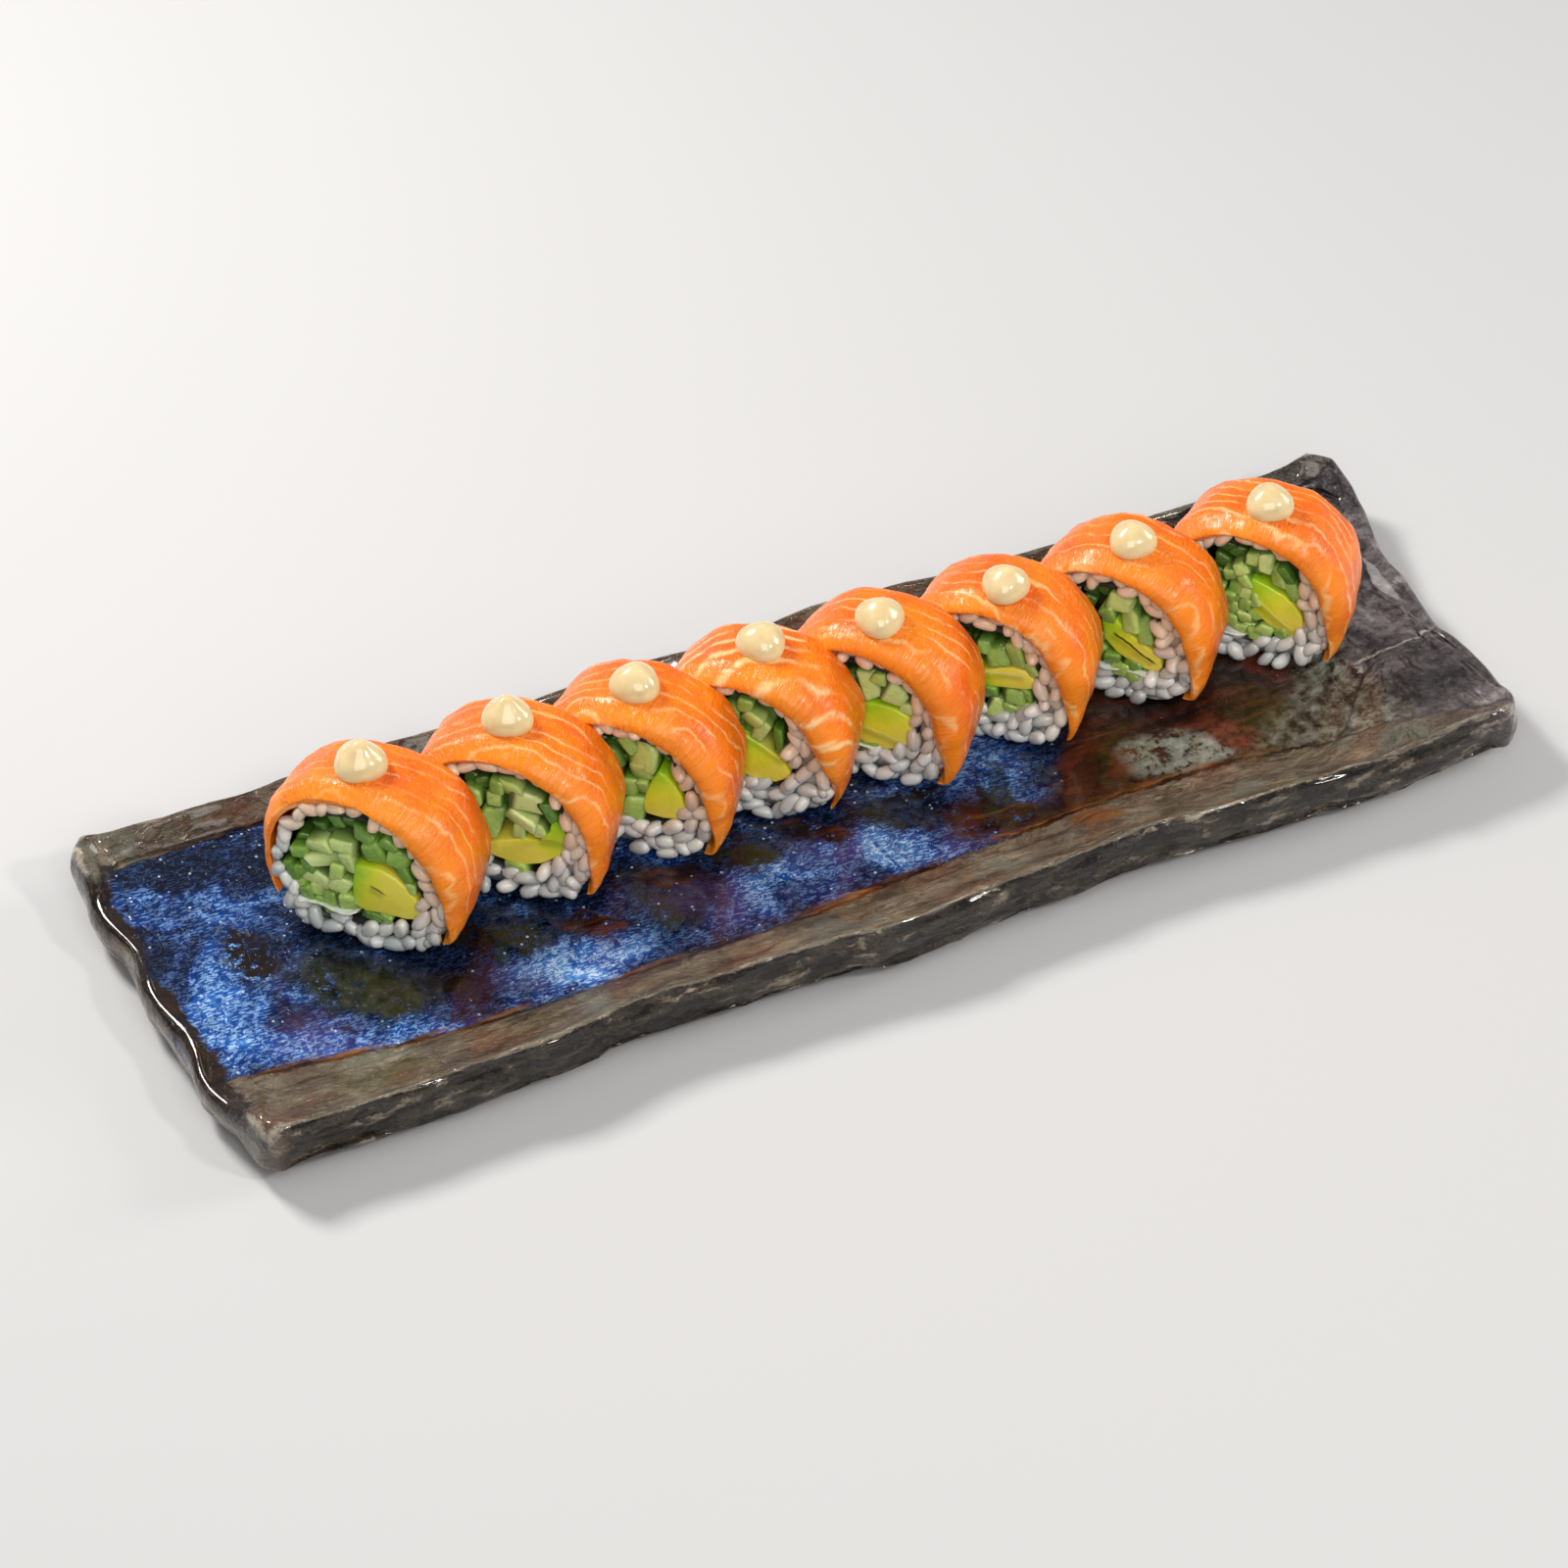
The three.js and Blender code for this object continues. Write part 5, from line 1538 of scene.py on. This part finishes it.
# %% Avocado
# For each slice: the skin's side, the heart, the two ends of the crease, across and up, and its colour.
AVOCADO = {
    1: ((-4, 20), (5, 17), ((2.2, 18.4), (5.5, 17)), paint(150, 128, 40)),
    2: ((13, 27), (6, 15), ((9, 19.6), (17, 20)), paint(196, 204, 60)),
    3: ((6, 29), (12.4, 16), ((6, 12.4), (14, 14)), paint(214, 216, 70)),
    4: ((-3, 28), (8, 12), ((-1, 25), (9.4, 18.6)), paint(214, 214, 100)),
    5: ((0, 27), (6, 12), ((-3, 15.6), (11.5, 12.6)), paint(226, 226, 110)),
    # Slice 6's green at the lower left is painted shade, set as its skin side.
    6: ((-3, 13), (4, 20), ((-3, 20), (8, 21.8)), paint(240, 236, 140)),
    # Slice 7's dark crease is painted shade in its fold.
    7: ((-4, 26), (8, 15), ((-0.2, 20), (10.8, 13.6)), paint(96, 92, 26)),
    8: ((-2, 27), (10, 14), ((0.6, 20), (11.6, 11.8)), paint(232, 228, 100)),
}
SKIN_TO_HEART = (
    (0.05, paint(132, 200, 20)), (0.35, paint(192, 226, 40)), (0.65, paint(236, 238, 58)),
    (1.0, paint(250, 236, 88)),
)
CREASE_SHADOW = paint(120, 132, 22)


def along_line(finish, here, start, way):
    """How far points lie from the start, measured along a way in the section."""
    moved = finish.add("VectorMath", {0: here, 1: (*start, 0)}, operation="SUBTRACT").outputs["Vector"]
    return finish.add("VectorMath", {0: moved, 1: (*way, 0)}, operation="DOT_PRODUCT").outputs["Value"]


def avocado_finish(number):
    skin, heart, crease, crease_colour = AVOCADO[number]
    flesh = Finish(
        f"avocado_flesh_{number}", Coat_Weight=0.25, Coat_Roughness=0.2, Subsurface_Weight=0.25,
        Subsurface_Scale=2.0 * MM,
    )
    flesh.shader.inputs["Subsurface Radius"].default_value = (0.9, 0.9, 0.3)
    here = flesh.attribute("section").outputs["Vector"]
    soft = flesh.noise(here, 5.0, 3.0, 0.5)
    swing = flesh.minus(soft, 0.5)
    start, end = Vector(skin), Vector(heart)
    share = along_line(flesh, here, start, (end - start) / (end - start).length_squared)
    colour = flesh.ramp(flesh.plus(share, flesh.times(swing, 0.5)), *SKIN_TO_HEART)
    first, last = (Vector(p) for p in crease)
    length = (last - first).length
    run = (last - first).normalized()
    off = flesh.plus(along_line(flesh, here, first, (-run.y, run.x)), flesh.times(swing, 1.6))
    way = along_line(flesh, here, first, run)
    within = flesh.times(flesh.step(way, -1.0, 0.5), flesh.step(way, length + 1, length - 1))
    line = flesh.times(flesh.step(flesh.math("ABSOLUTE", off), 0.55, 0.15), within)
    below = flesh.times(flesh.step(off, -0.3, -0.9), flesh.step(off, -3.2, -1.0), within)
    colour = flesh.mix(flesh.times(below, 0.4), colour, CREASE_SHADOW)
    flesh.colour(flesh.mix(line, colour, crease_colour))
    flesh.roughness(flesh.plus(flesh.times(soft, 0.2), 0.28))
    flesh.bump(flesh.plus(flesh.times(line, 0.6), flesh.noise(here, 1.2, 2.0, 0.5)), 0.25, 0.6)
    return flesh


def avocado_of(cut):
    piece = merged_copy(f"avocado_{cut.number}", f"avocado_slice_{cut.number}")
    in_edit_mode(piece, lambda: bpy.ops.mesh.dissolve_limited(angle_limit=math.radians(1)))
    apply_modifier(
        piece, "BEVEL", width=0.7 * MM, segments=3, limit_method="ANGLE", angle_limit=math.radians(50),
    )
    store_section(piece, cut)
    wear(piece, avocado_finish(cut.number))
    finish_piece(piece, "avocado", f"avocado_{cut.number}")
    bpy.ops.object.shade_smooth_by_angle(angle=math.radians(40))
    return piece


avocado_pieces = [avocado_of(cut) for cut in SLICES]
print("avocado:", [len(piece.data.polygons) for piece in avocado_pieces])

# %% [markdown]
# ## Cream cheese
# Four slices show a little white cream cheese squeezed along the bottom of the filling. It is soft and
# smooth, so the frame's smear is subdivided, thinned, set back from the cut and gently pushed about.

# %% Cream cheese
cream_finish = Finish(
    "cream_cheese", Roughness=0.35, Coat_Weight=0.3, Subsurface_Weight=0.3, Subsurface_Scale=1.5 * MM,
)
curd = cream_finish.noise(cream_finish.place(), 1.8, 3.0, 0.5)
cream_finish.colour(cream_finish.ramp(curd, (0.3, paint(226, 226, 208)), (0.7, paint(246, 246, 236))))
cream_finish.bump(curd, 0.3, 0.6)
blob = clay_texture("blob", "CLOUDS", 3.5 * MM, noise_depth=0)
CREAM_LEVELS = 3
CREAM_SHARE = 0.26
CREAM_SET_BACK = 1.8


def cream_of(cut):
    piece = merged_copy(f"cream_{cut.number}", f"cream_smear_{cut.number}")
    hold_size(piece)
    apply_modifier(piece, "SUBSURF", levels=CREAM_LEVELS, render_levels=CREAM_LEVELS)
    local = cut.to_local(spots_of(piece))
    top = local[:, 1].max()
    local[:, 1] = top + (local[:, 1] - top) * CREAM_SHARE
    local[:, 2] = CREAM_SET_BACK + local[:, 2] * (1 - 2 * CREAM_SET_BACK / cut.depth)
    move_to(piece, cut.to_world(local))
    displace(piece, blob, 0.9, middle=0.6)
    wear(piece, cream_finish)
    return finish_piece(piece, "cream", f"cream_{cut.number}")


creamed = [cut for cut in SLICES if f"cream_{cut.number}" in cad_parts]
cream_pieces = [cream_of(cut) for cut in creamed]
print("cream:", [piece.name for piece in cream_pieces])

# %% [markdown]
# ## Sauce
# A dollop falls from a squeeze bottle: a round drop that settles under its weight, with a small peak
# where the last thread broke off. A sphere is cut flat below, and its pole is pulled up with falloff.

# %% Sauce
DOLLOP_RADIUS = 6.2
DOLLOP_HEIGHT = 6.8
SALMON_THICKNESS = 4.2
SINK = 0.6
CUT_BELOW = -0.42
PEAK_START = 0.82
BULGE = 0.05
sauce_finish = Finish(
    "sauce", Roughness=0.22, Coat_Weight=0.6, Coat_Roughness=0.07, Subsurface_Weight=0.2,
    Subsurface_Scale=2.0 * MM,
)
swirl = sauce_finish.noise(sauce_finish.place(), 3.0, 2.0, 0.5)
sauce_finish.colour(sauce_finish.ramp(swirl, (0.3, paint(218, 194, 142)), (0.7, paint(226, 206, 158))))
sauce_finish.bump(swirl, 0.12, 0.25)


def dollop_of(cut):
    radius = DOLLOP_RADIUS * cut.size
    tall = DOLLOP_HEIGHT * cut.size
    along_it, side = cut.dollop
    base = RICE_HEIGHT * cut.size + GAP + SALMON_THICKNESS - SINK
    bpy.ops.object.select_all(action="DESELECT")
    bpy.ops.mesh.primitive_uv_sphere_add(segments=40, ring_count=28, radius=1.0)
    piece = bpy.context.object
    piece.name = f"sauce_dollop_{cut.number}"
    cut_plane = {"plane_co": (0, 0, CUT_BELOW), "plane_no": (0, 0, 1)}
    in_edit_mode(piece, lambda: bpy.ops.mesh.bisect(use_fill=True, clear_inner=True, **cut_plane))
    spots = spots_of(piece)
    rise = (spots[:, 2] - CUT_BELOW) / (1 - CUT_BELOW)
    pull = np.clip((rise - PEAK_START) / (1 - PEAK_START), 0, 1) ** 2
    flat = np.hypot(spots[:, 0], spots[:, 1])
    bulge = 1 + BULGE * np.sin(3 * np.arctan2(spots[:, 1], spots[:, 0]) + cut.number)
    local = np.column_stack([
        side + spots[:, 0] * radius * bulge,
        base + rise * tall + pull * cut.peak,
        along_it + spots[:, 1] * radius * bulge,
    ])
    local[:, 1] -= 0.35 * flat * (rise > 0.02)
    move_to(piece, cut.to_world(local))
    in_edit_mode(piece, lambda: bpy.ops.mesh.normals_make_consistent(inside=False))
    wear(piece, sauce_finish)
    return finish_piece(piece, "dollop", f"dollop_{cut.number}")


dollop_pieces = [dollop_of(cut) for cut in SLICES]
print("sauce:", len(dollop_pieces), "dollops")
